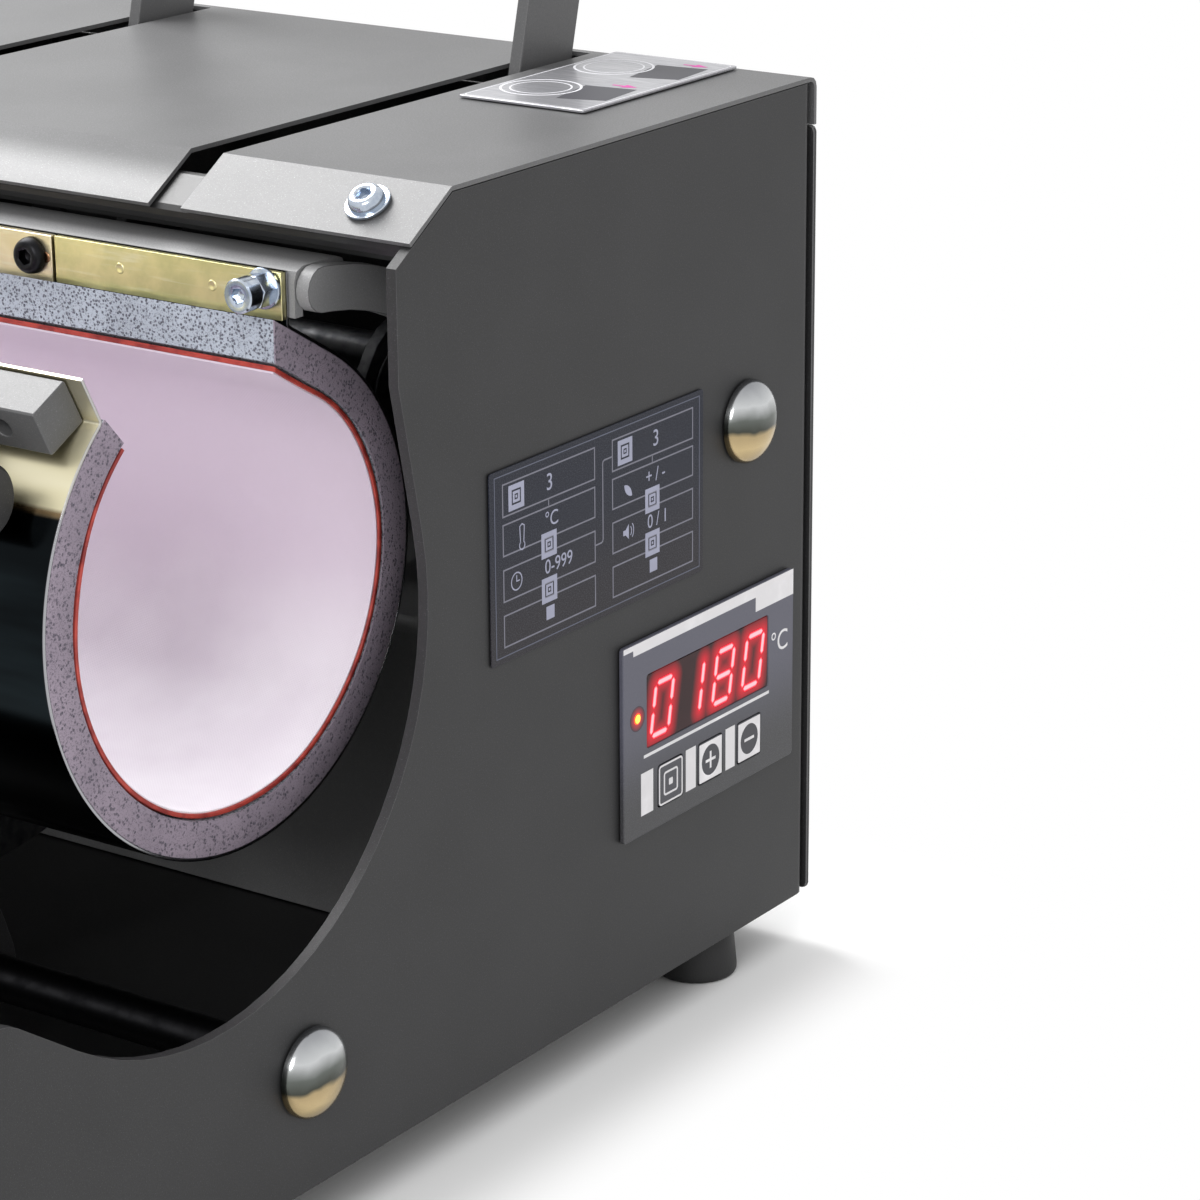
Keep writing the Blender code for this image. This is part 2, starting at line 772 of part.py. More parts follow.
def top_cover(material, parts, cutters):
    """The cover: rear flange, top and front lip in one bent sheet, slotted for the handle arms."""
    lift = GAP + COVER_THICKNESS / 2
    crease = Vector((TOP_LENGTH + lift * tan(LIP_ANGLE / 2), -lift))
    corners = [
        Vector((-lift, COVER_REAR_DROP)),
        Vector((-lift, -lift)),
        crease,
        on_lip(COVER_LIP_LENGTH, -lift),
    ]
    path = [corners[0]] + bend(*corners[:3], COVER_BEND_RADIUS) + corners[2:]
    cover = across("top_cover", [sheet(path, COVER_THICKNESS)], -HALF_WIDTH, HALF_WIDTH, material, parts)
    length = CHIN_FORWARD - SLOT_REAR + OVERRUN
    for word, way in SIDES.items():
        slot = block(
            word + "_slot_cutter",
            at(way * HANDLE_ACROSS, (SLOT_REAR + length / 2, 0)),
            (SLOT_WIDTH, length, 2 * CHIN_DOWN + 2 * OVERRUN),
            None,
            cutters,
        )
        combine(cover, cutter(slot), "DIFFERENCE")
    return cover


def front_inner_beam(material, parts):
    """The beam that carries the cover's tongues behind the lip and holds the upper jaw."""
    middle = BEAM_THICKNESS / 2
    knee = on_lip(BEAM_SETBACK, middle)
    corners = [
        Vector((knee.x, CROSSBAR_TOP - GAP)),
        knee,
        on_lip(BEAM_FACE_LENGTH, middle),
        on_lip(BEAM_FACE_LENGTH, BEAM_HEM),
    ]
    path = bent_path(corners, BEAM_BEND_RADIUS)
    reach = INSIDE - GAP
    return across("front_inner_beam", [sheet(path, BEAM_THICKNESS)], -reach, reach, material, parts)


def bottom_pan(material, parts):
    """The floor between the plates, turned up at the rear and into a front wall with a hem."""
    level = BODY_HEIGHT - PAN_RAISE - PAN_THICKNESS / 2
    front = BODY_DEPTH - PAN_FRONT_INSET
    corners = [
        Vector((PAN_REAR_INSET, level - PAN_REAR_HEIGHT)),
        Vector((PAN_REAR_INSET, level)),
        Vector((front, level)),
        Vector((front, level - PAN_FRONT_HEIGHT)),
        Vector((front - PAN_FRONT_HEM, level - PAN_FRONT_HEIGHT)),
    ]
    path = bent_path(corners, SHEET_BEND_RADIUS)
    reach = INSIDE - GAP
    return across("bottom_pan", [sheet(path, PAN_THICKNESS)], -reach, reach, material, parts)


def inner_bulkhead(material, parts):
    """The wall and lid of the electronics bay behind the heater band."""
    floor = BODY_HEIGHT - PAN_RAISE - PAN_THICKNESS - GAP
    corners = [
        Vector((BAY_REAR_INSET, BAY_TOP_DOWN + BAY_THICKNESS / 2)),
        Vector((BAY_FRONT - BAY_THICKNESS / 2, BAY_TOP_DOWN + BAY_THICKNESS / 2)),
        Vector((BAY_FRONT - BAY_THICKNESS / 2, floor)),
    ]
    path = bent_path(corners, SHEET_BEND_RADIUS)
    reach = INSIDE - GAP
    return across("inner_bulkhead", [sheet(path, BAY_THICKNESS)], -reach, reach, material, parts)


def rear_matrix(across_place, down, behind):
    """Placement of a rear-view drawing: local X across, local Y up, local Z to the rear."""
    spot = at(across_place, (-behind, down))
    turn = Matrix(((-1, 0, 0), (0, 0, 1), (0, 1, 0))).to_4x4()
    return Matrix.Translation(spot) @ turn


def rear_panel(material, parts):
    """The panel over the plates' rear flanges, open for the mains inlet."""
    top = COVER_REAR_DROP + GAP
    middle = (top + BODY_HEIGHT) / 2
    half = middle - top
    drawn = box_outline((-HALF_WIDTH, -half), (HALF_WIDTH, half), REAR_PANEL_CORNER)
    low = (-INLET_ACROSS - INLET_BODY_WIDTH / 2 - GAP, middle - INLET_DOWN - INLET_BODY_HEIGHT / 2 - GAP)
    high = (-INLET_ACROSS + INLET_BODY_WIDTH / 2 + GAP, middle - INLET_DOWN + INLET_BODY_HEIGHT / 2 + GAP)
    hole = box_outline(low, high, INLET_BODY_CORNER)
    matrix = rear_matrix(0, middle, GAP + REAR_PANEL_THICKNESS / 2)
    return extruded("rear_panel", [drawn, hole], REAR_PANEL_THICKNESS, matrix, material, parts)


# Feet, shafts and caps


def foot(name, spot, material, parts):
    """A rubber foot with a broken edge and a screw recess underneath."""
    top = FOOT_HEIGHT + PAN_RAISE - GAP
    profile = [
        (0, top),
        (FOOT_TOP_RADIUS, top),
        (FOOT_RADIUS, FOOT_EDGE),
        (FOOT_RADIUS - FOOT_EDGE, 0),
        (FOOT_RECESS_RADIUS, 0),
        (FOOT_RECESS_RADIUS, FOOT_RECESS_DEPTH),
        (0, FOOT_RECESS_DEPTH),
    ]
    return turned(name, profile, Matrix.Translation(spot), material, parts)


def shaft_cap(name, spot, way, material, parts):
    """A pressed dome over the end of a shaft."""
    dome = CAP_HEIGHT - CAP_RIM
    profile = []
    for step in range(CAP_STEPS + 1):
        turn = pi / 2 * step / CAP_STEPS
        profile.append((CAP_RADIUS * sin(turn), CAP_RIM + dome * cos(turn)))
    profile += [(CAP_RADIUS, 0), (0, 0)]
    matrix = Matrix.Translation(spot) @ aimed((way, 0, 0))
    return turned(name, profile, matrix, material, parts)


def full_shaft(name, point, radius, material, parts):
    """A shaft through both side plates, its ends a little inside their outer faces."""
    half = HALF_WIDTH - GAP
    profile = [
        (0, half),
        (radius - SHAFT_CHAMFER, half),
        (radius, half - SHAFT_CHAMFER),
        (radius, SHAFT_CHAMFER - half),
        (radius - SHAFT_CHAMFER, -half),
        (0, -half),
    ]
    matrix = Matrix.Translation(at(0, point)) @ aimed((1, 0, 0))
    return turned(name, profile, matrix, material, parts)


# Screws


def head_profile(kind):
    """Profile of a screw head above its seat, from the crown down."""
    if kind == "socket":
        stack = STRAP_WASHER_HEIGHT + STRAP_NUT_HEIGHT
        crown = stack + STRAP_HEAD_HEIGHT
        return [
            (0, crown),
            (STRAP_HEAD_RADIUS - SHAFT_CHAMFER, crown),
            (STRAP_HEAD_RADIUS, crown - SHAFT_CHAMFER),
            (STRAP_HEAD_RADIUS, stack),
            (STRAP_NUT_RADIUS, stack),
            (STRAP_NUT_RADIUS, STRAP_WASHER_HEIGHT),
            (STRAP_WASHER_RADIUS, STRAP_WASHER_HEIGHT),
            (STRAP_WASHER_RADIUS, 0),
        ]
    rise = BUTTON_FLANGE_HEIGHT if kind == "flanged" else 0
    profile = [(0, rise + BUTTON_HEAD_HEIGHT)]
    for step in range(HEAD_STEPS + 1):
        turn = pi / 2 * step / HEAD_STEPS
        radius = BUTTON_HEAD_CROWN + (BUTTON_HEAD_RADIUS - BUTTON_HEAD_CROWN) * sin(turn)
        profile.append((radius, rise + BUTTON_HEAD_HEIGHT * cos(turn)))
    if kind == "flanged":
        profile.append((BUTTON_FLANGE_RADIUS, rise))
        profile.append((BUTTON_FLANGE_RADIUS, 0))
    return profile


def screw(name, kind, seat, way, shank, material, parts, cutters):
    """A screw on its seat, its head turned towards way and its hexagon socket sunk in the crown."""
    profile = head_profile(kind)
    crown = profile[0][1]
    profile += [(SCREW_SHANK_RADIUS, 0), (SCREW_SHANK_RADIUS, -shank), (0, -shank)]
    matrix = Matrix.Translation(seat) @ aimed(way)
    thing = turned(name, profile, matrix, material, parts, SMALL_STEPS)
    way = Vector(way).normalized()
    low = seat + way * (crown - SOCKET_DEPTH)
    high = seat + way * (crown + OVERRUN)
    hexagon = rod(name + "_socket_cutter", low, high, SOCKET_RADIUS, None, cutters, 6)
    combine(thing, cutter(hexagon), "DIFFERENCE")
    return thing


def screw_hole(name, seat, way, cutters):
    """A clearance hole through whatever a screw passes."""
    way = Vector(way).normalized()
    reach = SCREW_SHANK_LENGTH + OVERRUN
    hole = rod(name, seat + way * OVERRUN, seat - way * reach, SCREW_SHANK_RADIUS + GAP, None, cutters, SMALL_STEPS)
    return cutter(hole)


# Heater band


def band_line(depth):
    """The band's loop at a depth inside its outer face, from the straight entry to the front end."""
    shoulder = LOOP_CENTRE + (LOOP_RADIUS - LOOP_SHOULDER_RADIUS) * Vector(
        (cos(radians(LOOP_SHOULDER_DEG)), -sin(radians(LOOP_SHOULDER_DEG)))
    )
    entry = 90 + LOOP_ENTRY_SLOPE_DEG
    line = arc(shoulder, LOOP_SHOULDER_RADIUS - depth, entry, LOOP_SHOULDER_DEG)
    line += arc(LOOP_CENTRE, LOOP_RADIUS - depth, LOOP_SHOULDER_DEG, BAND_FRONT_END_DEG)[1:]
    return line


def entry_point(depth, forward):
    """Where the straight entry of the band passes a forward place."""
    start = band_line(depth)[0]
    run = forward - start.x
    return Vector((forward, start.y - run * tan(radians(LOOP_ENTRY_SLOPE_DEG))))


def band_layer(name, start, thickness, material, parts):
    """One layer of the band: foam or mat, cut upright at the top and square at the front."""
    outer = [entry_point(start, BAND_TOP_END)] + band_line(start)
    inner = [entry_point(start + thickness, BAND_TOP_END)] + band_line(start + thickness)
    outline = outer + inner[::-1]
    return across(name, [outline], -BAND_HALF, BAND_HALF, material, parts)


def bar_normal():
    """Side-view direction out of the clamp bar's front face, down and forward."""
    tilt = radians(CLAMP_BAR_TILT_DEG)
    return Vector((cos(tilt), sin(tilt)))


def strap_front_flange():
    """The two ends of the strap's flange behind the clamp bar: at the loop, and its free edge."""
    normal = bar_normal()
    rise = Vector((normal.y, -normal.x))
    middle = CLAMP_BAR - normal * (CLAMP_BAR_SIDE / 2 + GAP + STRAP_THICKNESS / 2)
    radius = LOOP_RADIUS - STRAP_THICKNESS / 2
    offset = middle - LOOP_CENTRE
    down = offset.dot(rise)
    reach = down - (down * down - offset.length_squared + radius * radius) ** 0.5
    return middle - rise * reach, middle + rise * STRAP_FLANGE_REACH


def heater_strap(material, parts):
    """The sprung metal strap: a flange under the clamp strips, the loop, and a flange on the bar."""
    depth = STRAP_THICKNESS / 2
    upright = CROSSBAR_FRONT + GAP + STRAP_THICKNESS / 2
    top = Vector((upright, STRIP_TOP))
    corner = entry_point(depth, upright)
    line = band_line(depth)
    loop_end, flange_end = strap_front_flange()
    limit = angle_of(loop_end - LOOP_CENTRE) - STRAP_TURN_OFF_DEG
    kept = [p for p in line if p.x < LOOP_CENTRE.x or angle_of(p - LOOP_CENTRE) < limit]
    path = [top] + bend(top, corner, line[0], STRAP_BEND_RADIUS) + kept
    path += bend(kept[-1], loop_end, flange_end, STRAP_BEND_RADIUS) + [flange_end]
    outline = sheet(path, STRAP_THICKNESS)
    return across("heater_strap", [outline], -BAND_HALF, BAND_HALF, material, parts)


# Upper jaw


def crossbar(material, parts):
    """The formed channel that holds the band's upper end."""
    half = CROSSBAR_THICKNESS / 2
    front = CROSSBAR_FRONT - half
    rear = CROSSBAR_FRONT - CROSSBAR_DEPTH + half
    bottom = CROSSBAR_TOP + CROSSBAR_DROP
    corners = [
        Vector((front, bottom)),
        Vector((front, CROSSBAR_TOP + half)),
        Vector((rear, CROSSBAR_TOP + half)),
        Vector((rear, bottom)),
    ]
    path = bent_path(corners, CROSSBAR_BEND_RADIUS)
    reach = CROSSBAR_ARM_INSIDE - GAP
    return across("crossbar", [sheet(path, CROSSBAR_THICKNESS)], -reach, reach, material, parts)


def crossbar_arm(name, way, material, parts):
    """The curved arm that ties an end of the crossbar to the rear shaft."""
    tip = Vector((CROSSBAR_FRONT - CROSSBAR_ARM_HALF_WIDTH, CROSSBAR_TOP + CROSSBAR_ARM_HALF_WIDTH))
    knee = Vector((CROSSBAR_FRONT - CROSSBAR_ARM_KNEE_SETBACK, CROSSBAR_TOP + CROSSBAR_ARM_KNEE_DROP))
    path = bent_path([REAR_SHAFT, knee, tip], CROSSBAR_ARM_KNEE_RADIUS)
    path = along(path, CROSSBAR_ARM_EYE / 2)
    width = CROSSBAR_ARM_HALF_WIDTH
    widths = eased(path, CROSSBAR_ARM_EYE, width, width, CROSSBAR_ARM_EYE_REACH)
    outlines = [forged(path, widths), ring(REAR_SHAFT, REAR_SHAFT_RADIUS + GAP)]
    low, high = sorted((way * CROSSBAR_ARM_INSIDE, way * (CROSSBAR_ARM_INSIDE + CROSSBAR_ARM_THICKNESS)))
    return across(name, outlines, low, high, material, parts)


def strip(name, low, high, thickness, material, parts):
    """A flat clamp strip in front of the strap's flange."""
    rear = CROSSBAR_FRONT + 2 * GAP + STRAP_THICKNESS
    size = (high - low, thickness, STRIP_HEIGHT)
    middle = (rear + thickness / 2, STRIP_TOP + STRIP_HEIGHT / 2)
    return block(name, at((low + high) / 2, middle), size, material, parts)


def upper_jaw(paints, parts, cutters, strap):
    """Crossbar, arms, clamp strips and the screws that pinch the strap's flange."""
    bar = crossbar(paints["coat"], parts)
    strips = {}
    for word, way in SIDES.items():
        crossbar_arm(word + "_crossbar_arm", way, paints["coat"], parts)
        low, high = sorted((way * (CENTRE_PLATE_HALF_WIDTH + GAP), way * BAND_HALF))
        name = word + "_clamp_strip"
        strips[word] = strip(name, low, high, STRIP_THICKNESS, paints["zinc"], parts)
    half = CENTRE_PLATE_HALF_WIDTH - GAP
    plate = strip("centre_clamp_plate", -half, half, CENTRE_PLATE_THICKNESS, paints["cream"], parts)
    face = CROSSBAR_FRONT + 2 * GAP + STRAP_THICKNESS
    for word, way in SIDES.items():
        seat = at(way * STRAP_SCREW_ACROSS, (face + STRIP_THICKNESS + GAP, STRIP_TOP + STRAP_SCREW_DROP))
        hole = screw_hole(word + "_strap_screw_hole", seat, (0, -1, 0), cutters)
        name = word + "_strap_screw"
        screw(name, "socket", seat, (0, -1, 0), SCREW_SHANK_LENGTH, paints["steel"], parts, cutters)
        for thing in (bar, strap, strips[word]):
            combine(thing, hole, "DIFFERENCE")
        seat = at(way * PLATE_SCREW_ACROSS, (face + CENTRE_PLATE_THICKNESS + GAP, STRIP_TOP + PLATE_SCREW_DROP))
        hole = screw_hole(word + "_plate_screw_hole", seat, (0, -1, 0), cutters)
        name = word + "_plate_screw"
        screw(name, "button", seat, (0, -1, 0), SCREW_SHANK_LENGTH, paints["black"], parts, cutters)
        for thing in (bar, strap, plate):
            combine(thing, hole, "DIFFERENCE")


# Front jaw


def clamp_bar(material, parts):
    """The square bar behind which the strap's front flange is bolted."""
    half = CLAMP_BAR_SIDE / 2
    normal = bar_normal()
    rise = Vector((normal.y, -normal.x))
    corners = [
        CLAMP_BAR + (normal + rise) * half,
        CLAMP_BAR + (normal - rise) * half,
        CLAMP_BAR - (normal + rise) * half,
        CLAMP_BAR - (normal - rise) * half,
    ]
    outline = rounded(corners, [CLAMP_BAR_SOFTNESS] * 4)
    return across("clamp_bar", [outline], -CLAMP_BAR_HALF, CLAMP_BAR_HALF, material, parts)


def front_arm(name, way, material, parts, cutters):
    """The arm that bows round the front of the band, with its link pin riveted in."""
    start = angle_of(LINK_PIN - LOOP_CENTRE) % 360
    finish = angle_of(ARM_TIP - LOOP_CENTRE) + 360
    start += FRONT_ARM_BOW_START_DEG
    finish -= FRONT_ARM_BOW_FINISH_DEG
    bow = arc(LOOP_CENTRE, FRONT_ARM_BOW_RADIUS, start, finish)
    path = [FRONT_AXLE] + bend(FRONT_AXLE, LINK_PIN, bow[0], FRONT_ARM_BEND_RADIUS) + bow + [ARM_TIP]
    path = along(path, FRONT_ARM_HALF_WIDTH)
    widths = eased(path, FRONT_ARM_EYE, FRONT_ARM_HALF_WIDTH, FRONT_ARM_TIP_RADIUS, FRONT_ARM_EYE_REACH)
    holes = [
        ring(FRONT_AXLE, FRONT_AXLE_RADIUS + GAP),
        ring(ARM_TIP, CROSS_TUBE_RADIUS + GAP),
    ]
    outside = FRONT_ARM_INSIDE + FRONT_ARM_THICKNESS
    low, high = sorted((way * FRONT_ARM_INSIDE, way * outside))
    arm = across(name, [forged(path, widths)] + holes, low, high, material, parts)
    shoulder = LINK_INSIDE - LINK_SIDE_PLAY
    profile = [
        (0, FRONT_ARM_THICKNESS / 2),
        (LINK_PIN_RADIUS, FRONT_ARM_THICKNESS / 2),
        (LINK_PIN_RADIUS, shoulder - FRONT_ARM_INSIDE),
        (LINK_PIN_HEAD_RADIUS, shoulder - FRONT_ARM_INSIDE),
        (LINK_PIN_HEAD_RADIUS, shoulder - FRONT_ARM_INSIDE - LINK_PIN_HEAD),
        (0, shoulder - FRONT_ARM_INSIDE - LINK_PIN_HEAD),
    ]
    matrix = Matrix.Translation(at(way * FRONT_ARM_INSIDE, LINK_PIN)) @ aimed((way, 0, 0))
    pin = turned(name + "_pin", profile, matrix, material, cutters, SMALL_STEPS)
    combine(arm, cutter(pin), "UNION")
    return arm


def bar_lug(name, way, material, parts):
    """The lug that joins the clamp bar to the cross tube between the arm tips."""
    normal = bar_normal()
    rise = Vector((normal.y, -normal.x))
    foot_middle = CLAMP_BAR + normal * (CLAMP_BAR_SIDE / 2 + GAP)
    sweep = angle_of(ARM_TIP - foot_middle)
    outline = [foot_middle - rise * LUG_FOOT, foot_middle + rise * LUG_FOOT]
    outline += arc(ARM_TIP, LUG_EYE, sweep + 90, sweep - 90)
    hole = ring(ARM_TIP, CROSS_TUBE_RADIUS + GAP)
    low, high = sorted((way * LUG_INSIDE, way * (LUG_INSIDE + LUG_THICKNESS)))
    return across(name, [outline, hole], low, high, material, parts)


def front_jaw(paints, parts, cutters, strap):
    """Clamp bar, bolts, bowed arms and the tube that joins them."""
    pivot = pivot_at("front_jaw_pivot", at(0, FRONT_AXLE), parts)
    bar = clamp_bar(paints["coat"], parts)
    reach = BAND_HALF - CROSS_TUBE_INSET
    cross_tube = rod(
        "front_cross_tube",
        at(-reach, ARM_TIP),
        at(reach, ARM_TIP),
        CROSS_TUBE_RADIUS,
        paints["coat"],
        parts,
        ROUND_STEPS,
    )
    things = [bar, cross_tube]
    normal = bar_normal()
    seat_place = CLAMP_BAR - normal * (CLAMP_BAR_SIDE / 2 + 2 * GAP + STRAP_THICKNESS)
    way_out = (0, normal.x, normal.y)
    for word, way in SIDES.items():
        things.append(front_arm(word + "_front_arm", way, paints["coat"], parts, cutters))
        things.append(bar_lug(word + "_bar_lug", way, paints["coat"], parts))
        seat = at(way * (CLAMP_BAR_HALF - CLAMP_BOLT_INSET), seat_place)
        hole = rod(
            word + "_clamp_bolt_hole",
            seat + Vector(way_out) * OVERRUN,
            seat - Vector(way_out) * (CLAMP_BAR_SIDE + 2 * OVERRUN),
            SCREW_SHANK_RADIUS + GAP,
            None,
            cutters,
            SMALL_STEPS,
        )
        for thing in (bar, strap):
            combine(thing, cutter(hole), "DIFFERENCE")
        name = word + "_clamp_bolt"
        things.append(screw(name, "button", seat, way_out, CLAMP_BOLT_SHANK, paints["chrome"], parts, cutters))
    carried(pivot, things)


# Handle and linkage


def handle_arm(name, way, material, parts):
    """A flat bar from the rear shaft up through its slot, leaning to the rear."""
    knee = Vector((HANDLE_KNEE_FORWARD, HANDLE_KNEE_DOWN))
    path = along(bent_path([REAR_SHAFT, knee, HANDLE_TOP], HANDLE_KNEE_RADIUS), HANDLE_ARM_EYE)
    width = HANDLE_ARM_HALF_WIDTH
    widths = eased(path, HANDLE_ARM_EYE, width, width, HANDLE_ARM_EYE_REACH)
    holes = [
        ring(REAR_SHAFT, REAR_SHAFT_RADIUS + GAP),
        ring(HANDLE_TOP, SCREW_SHANK_RADIUS + GAP),
    ]
    low = way * HANDLE_ACROSS - HANDLE_ARM_THICKNESS / 2
    high = way * HANDLE_ACROSS + HANDLE_ARM_THICKNESS / 2
    return across(name, [forged(path, widths)] + holes, low, high, material, parts)


def handle_grip(material, parts):
    """The ribbed sleeve between the handle arms, bored at its ends for the grip screws."""
    half = HANDLE_ACROSS - HANDLE_ARM_THICKNESS / 2 - GAP
    bore = SCREW_SHANK_RADIUS + GAP
    depth = SCREW_SHANK_LENGTH
    ends = [
        (0, half - depth),
        (bore, half - depth),
        (bore, half),
        (GRIP_NECK_RADIUS, half),
        (GRIP_RADIUS, half - GRIP_NECK_LENGTH),
    ]
    run = 2 * (half - GRIP_NECK_LENGTH)
    pitch = run / (GRIP_RIBS * 2 + 1)
    ribs = []
    for rib in range(GRIP_RIBS):
        high = run / 2 - pitch * (2 * rib + 1)
        ribs.append((GRIP_RADIUS, high))
        ribs.append((GRIP_RADIUS - GRIP_RIB_DEPTH, high - GRIP_RIB_DEPTH * 2))
        ribs.append((GRIP_RADIUS - GRIP_RIB_DEPTH, high - pitch + GRIP_RIB_DEPTH * 2))
        ribs.append((GRIP_RADIUS, high - pitch))
    bottom = [(radius, -height) for radius, height in reversed(ends)]
    matrix = Matrix.Translation(at(0, HANDLE_TOP)) @ aimed((1, 0, 0))
    return turned("handle_grip", ends + ribs + bottom, matrix, material, parts)


def eccentric(name, way, material, parts):
    """The disc, off the shaft's middle, that works a pull link."""
    outlines = [ring(ECCENTRIC, ECCENTRIC_RADIUS), ring(REAR_SHAFT, REAR_SHAFT_RADIUS + GAP)]
    middle = LINK_INSIDE + LINK_THICKNESS / 2
    low, high = sorted((way * (middle - ECCENTRIC_THICKNESS / 2), way * (middle + ECCENTRIC_THICKNESS / 2)))
    return across(name, outlines, low, high, material, parts)


def handle(paints, parts, cutters):
    """Everything that turns with the rear shaft."""
    pivot = pivot_at("handle_pivot", at(0, REAR_SHAFT), parts)
    things = [full_shaft("rear_shaft", REAR_SHAFT, REAR_SHAFT_RADIUS, paints["steel"], parts)]
    things.append(handle_grip(paints["rubber"], parts))
    for word, way in SIDES.items():
        things.append(handle_arm(word + "_handle_arm", way, paints["coat"], parts))
        things.append(eccentric(word + "_eccentric", way, paints["steel"], parts))
        seat = at(way * (HANDLE_ACROSS + HANDLE_ARM_THICKNESS / 2 + GAP), HANDLE_TOP)
        name = word + "_grip_screw"
        shank = SCREW_SHANK_LENGTH
        things.append(screw(name, "flanged", seat, (way, 0, 0), shank, paints["steel"], parts, cutters))
        cap_seat = at(way * (HALF_WIDTH + GAP), REAR_SHAFT)
        things.append(shaft_cap(word + "_rear_cap", cap_seat, way, paints["chrome"], parts))
    carried(pivot, things)
    return pivot


def link_path():
    """The link's middle line: straight from the eccentric, then round under the band to the pin."""
    away = ECCENTRIC - LOOP_CENTRE
    touch = angle_of(away) % 360 + degrees(acos(LINK_BEND_RADIUS / away.length))
    finish = angle_of(LINK_PIN - LOOP_CENTRE) % 360
    finish -= LINK_BEND_FINISH_DEG
    return [ECCENTRIC] + arc(LOOP_CENTRE, LINK_BEND_RADIUS, touch, finish) + [LINK_PIN]


def pull_link(name, way, material, parts, handle_pivot):
    """A curved link with a ring round its eccentric and an eye, with play, on the front arm's pin."""
    path = along(link_path(), LINK_HALF_WIDTH)
    big_end = ECCENTRIC_RADIUS + GAP + LINK_RING_WALL
    widths = eased(path, big_end, LINK_HALF_WIDTH, LINK_EYE, LINK_RING_REACH)
    outlines = [
        forged(path, widths),
        ring(ECCENTRIC, ECCENTRIC_RADIUS + GAP),
        ring(LINK_PIN, LINK_PIN_RADIUS + LINK_PIN_PLAY),
    ]
    low, high = sorted((way * LINK_INSIDE, way * (LINK_INSIDE + LINK_THICKNESS)))
    link = across(name, outlines, low, high, material, parts)
    pivot = pivot_at(name + "_pivot", at(0, ECCENTRIC), parts)
    carried(handle_pivot, [pivot])
    carried(pivot, [link])
    return link


# Controller and labels


def flat_on_side(name, outlines, start, thickness, material, parts):
    """A flat piece on the outside of the right plate, from a height above it."""
    low = HALF_WIDTH + start
    return across(name, outlines, low, low + thickness, material, parts)


def button_box(index, growth):
    """Corners of a button, larger by a growth, counted from the rear."""
    middle = (BUTTON_REAR + BUTTON_PITCH * index, BUTTON_DOWN)
    half = BUTTON_SIZE / 2 + growth
    return (middle[0] - half, middle[1] - half), (middle[0] + half, middle[1] + half)


def controller(paints, parts):
    """The control unit: panel, display window, three buttons and the module behind them."""
    high = (PANEL_REAR + PANEL_LENGTH, PANEL_TOP + PANEL_HEIGHT)
    outlines = [box_outline((PANEL_REAR, PANEL_TOP), high, PANEL_CORNER)]
    window_low = Vector((WINDOW_REAR, WINDOW_TOP))
    window_high = window_low + Vector((WINDOW_LENGTH, WINDOW_HEIGHT))
    gap = Vector((GAP, GAP))
    outlines.append(box_outline(window_low, window_high, WINDOW_CORNER))
    outlines += [box_outline(*button_box(index, 0), BUTTON_CORNER) for index in range(len(BUTTON_WORDS))]
    flat_on_side("controller_panel", outlines, GAP, PANEL_THICKNESS, paints["slate"], parts)
    lens = box_outline(window_low + gap, window_high - gap, WINDOW_CORNER)
    flat_on_side("display_window", [lens], GAP, WINDOW_THICKNESS, paints["display"], parts)
    for index, word in enumerate(BUTTON_WORDS):
        outline = box_outline(*button_box(index, -GAP), BUTTON_CORNER)
        name = word + "_button"
        key = flat_on_side(name, [outline], 0, BUTTON_THICKNESS, paints["key"], parts)
        spot = at(HALF_WIDTH, (BUTTON_REAR + BUTTON_PITCH * index, BUTTON_DOWN))
        pivot = pivot_at(name + "_slide", spot, parts)
        carried(pivot, [key])
    low, high = controller_opening(0)
    face = HALF_WIDTH - BUTTON_TRAVEL - GAP
    module = box_outline(low, high, PANEL_CORNER)
    return across("controller_module", [module], face - MODULE_DEPTH, face, paints["black"], parts)


def labels(paints, parts):
    """The side label's plate and the silvered plate on the cover."""
    low = (SIDE_LABEL_REAR, SIDE_LABEL_TOP)
    high = (SIDE_LABEL_REAR + SIDE_LABEL_LENGTH, SIDE_LABEL_TOP + SIDE_LABEL_HEIGHT)
    outline = box_outline(low, high, LABEL_CORNER)
    flat_on_side("side_label", [outline], GAP, LABEL_THICKNESS, paints["navy"], parts)
    lift = GAP + COVER_THICKNESS + GAP + TOP_LABEL_THICKNESS / 2
    across_middle = HALF_WIDTH - TOP_LABEL_INSET - TOP_LABEL_WIDTH / 2
    spot = at(across_middle, (TOP_LABEL_REAR + TOP_LABEL_LENGTH / 2, -lift))
    half = (TOP_LABEL_WIDTH / 2, TOP_LABEL_LENGTH / 2)
    drawn = box_outline((-half[0], -half[1]), half, LABEL_CORNER)
    matrix = Matrix.Translation(spot)
    extruded("top_label", [drawn], TOP_LABEL_THICKNESS, matrix, paints["silver"], parts)


# Mains inlet


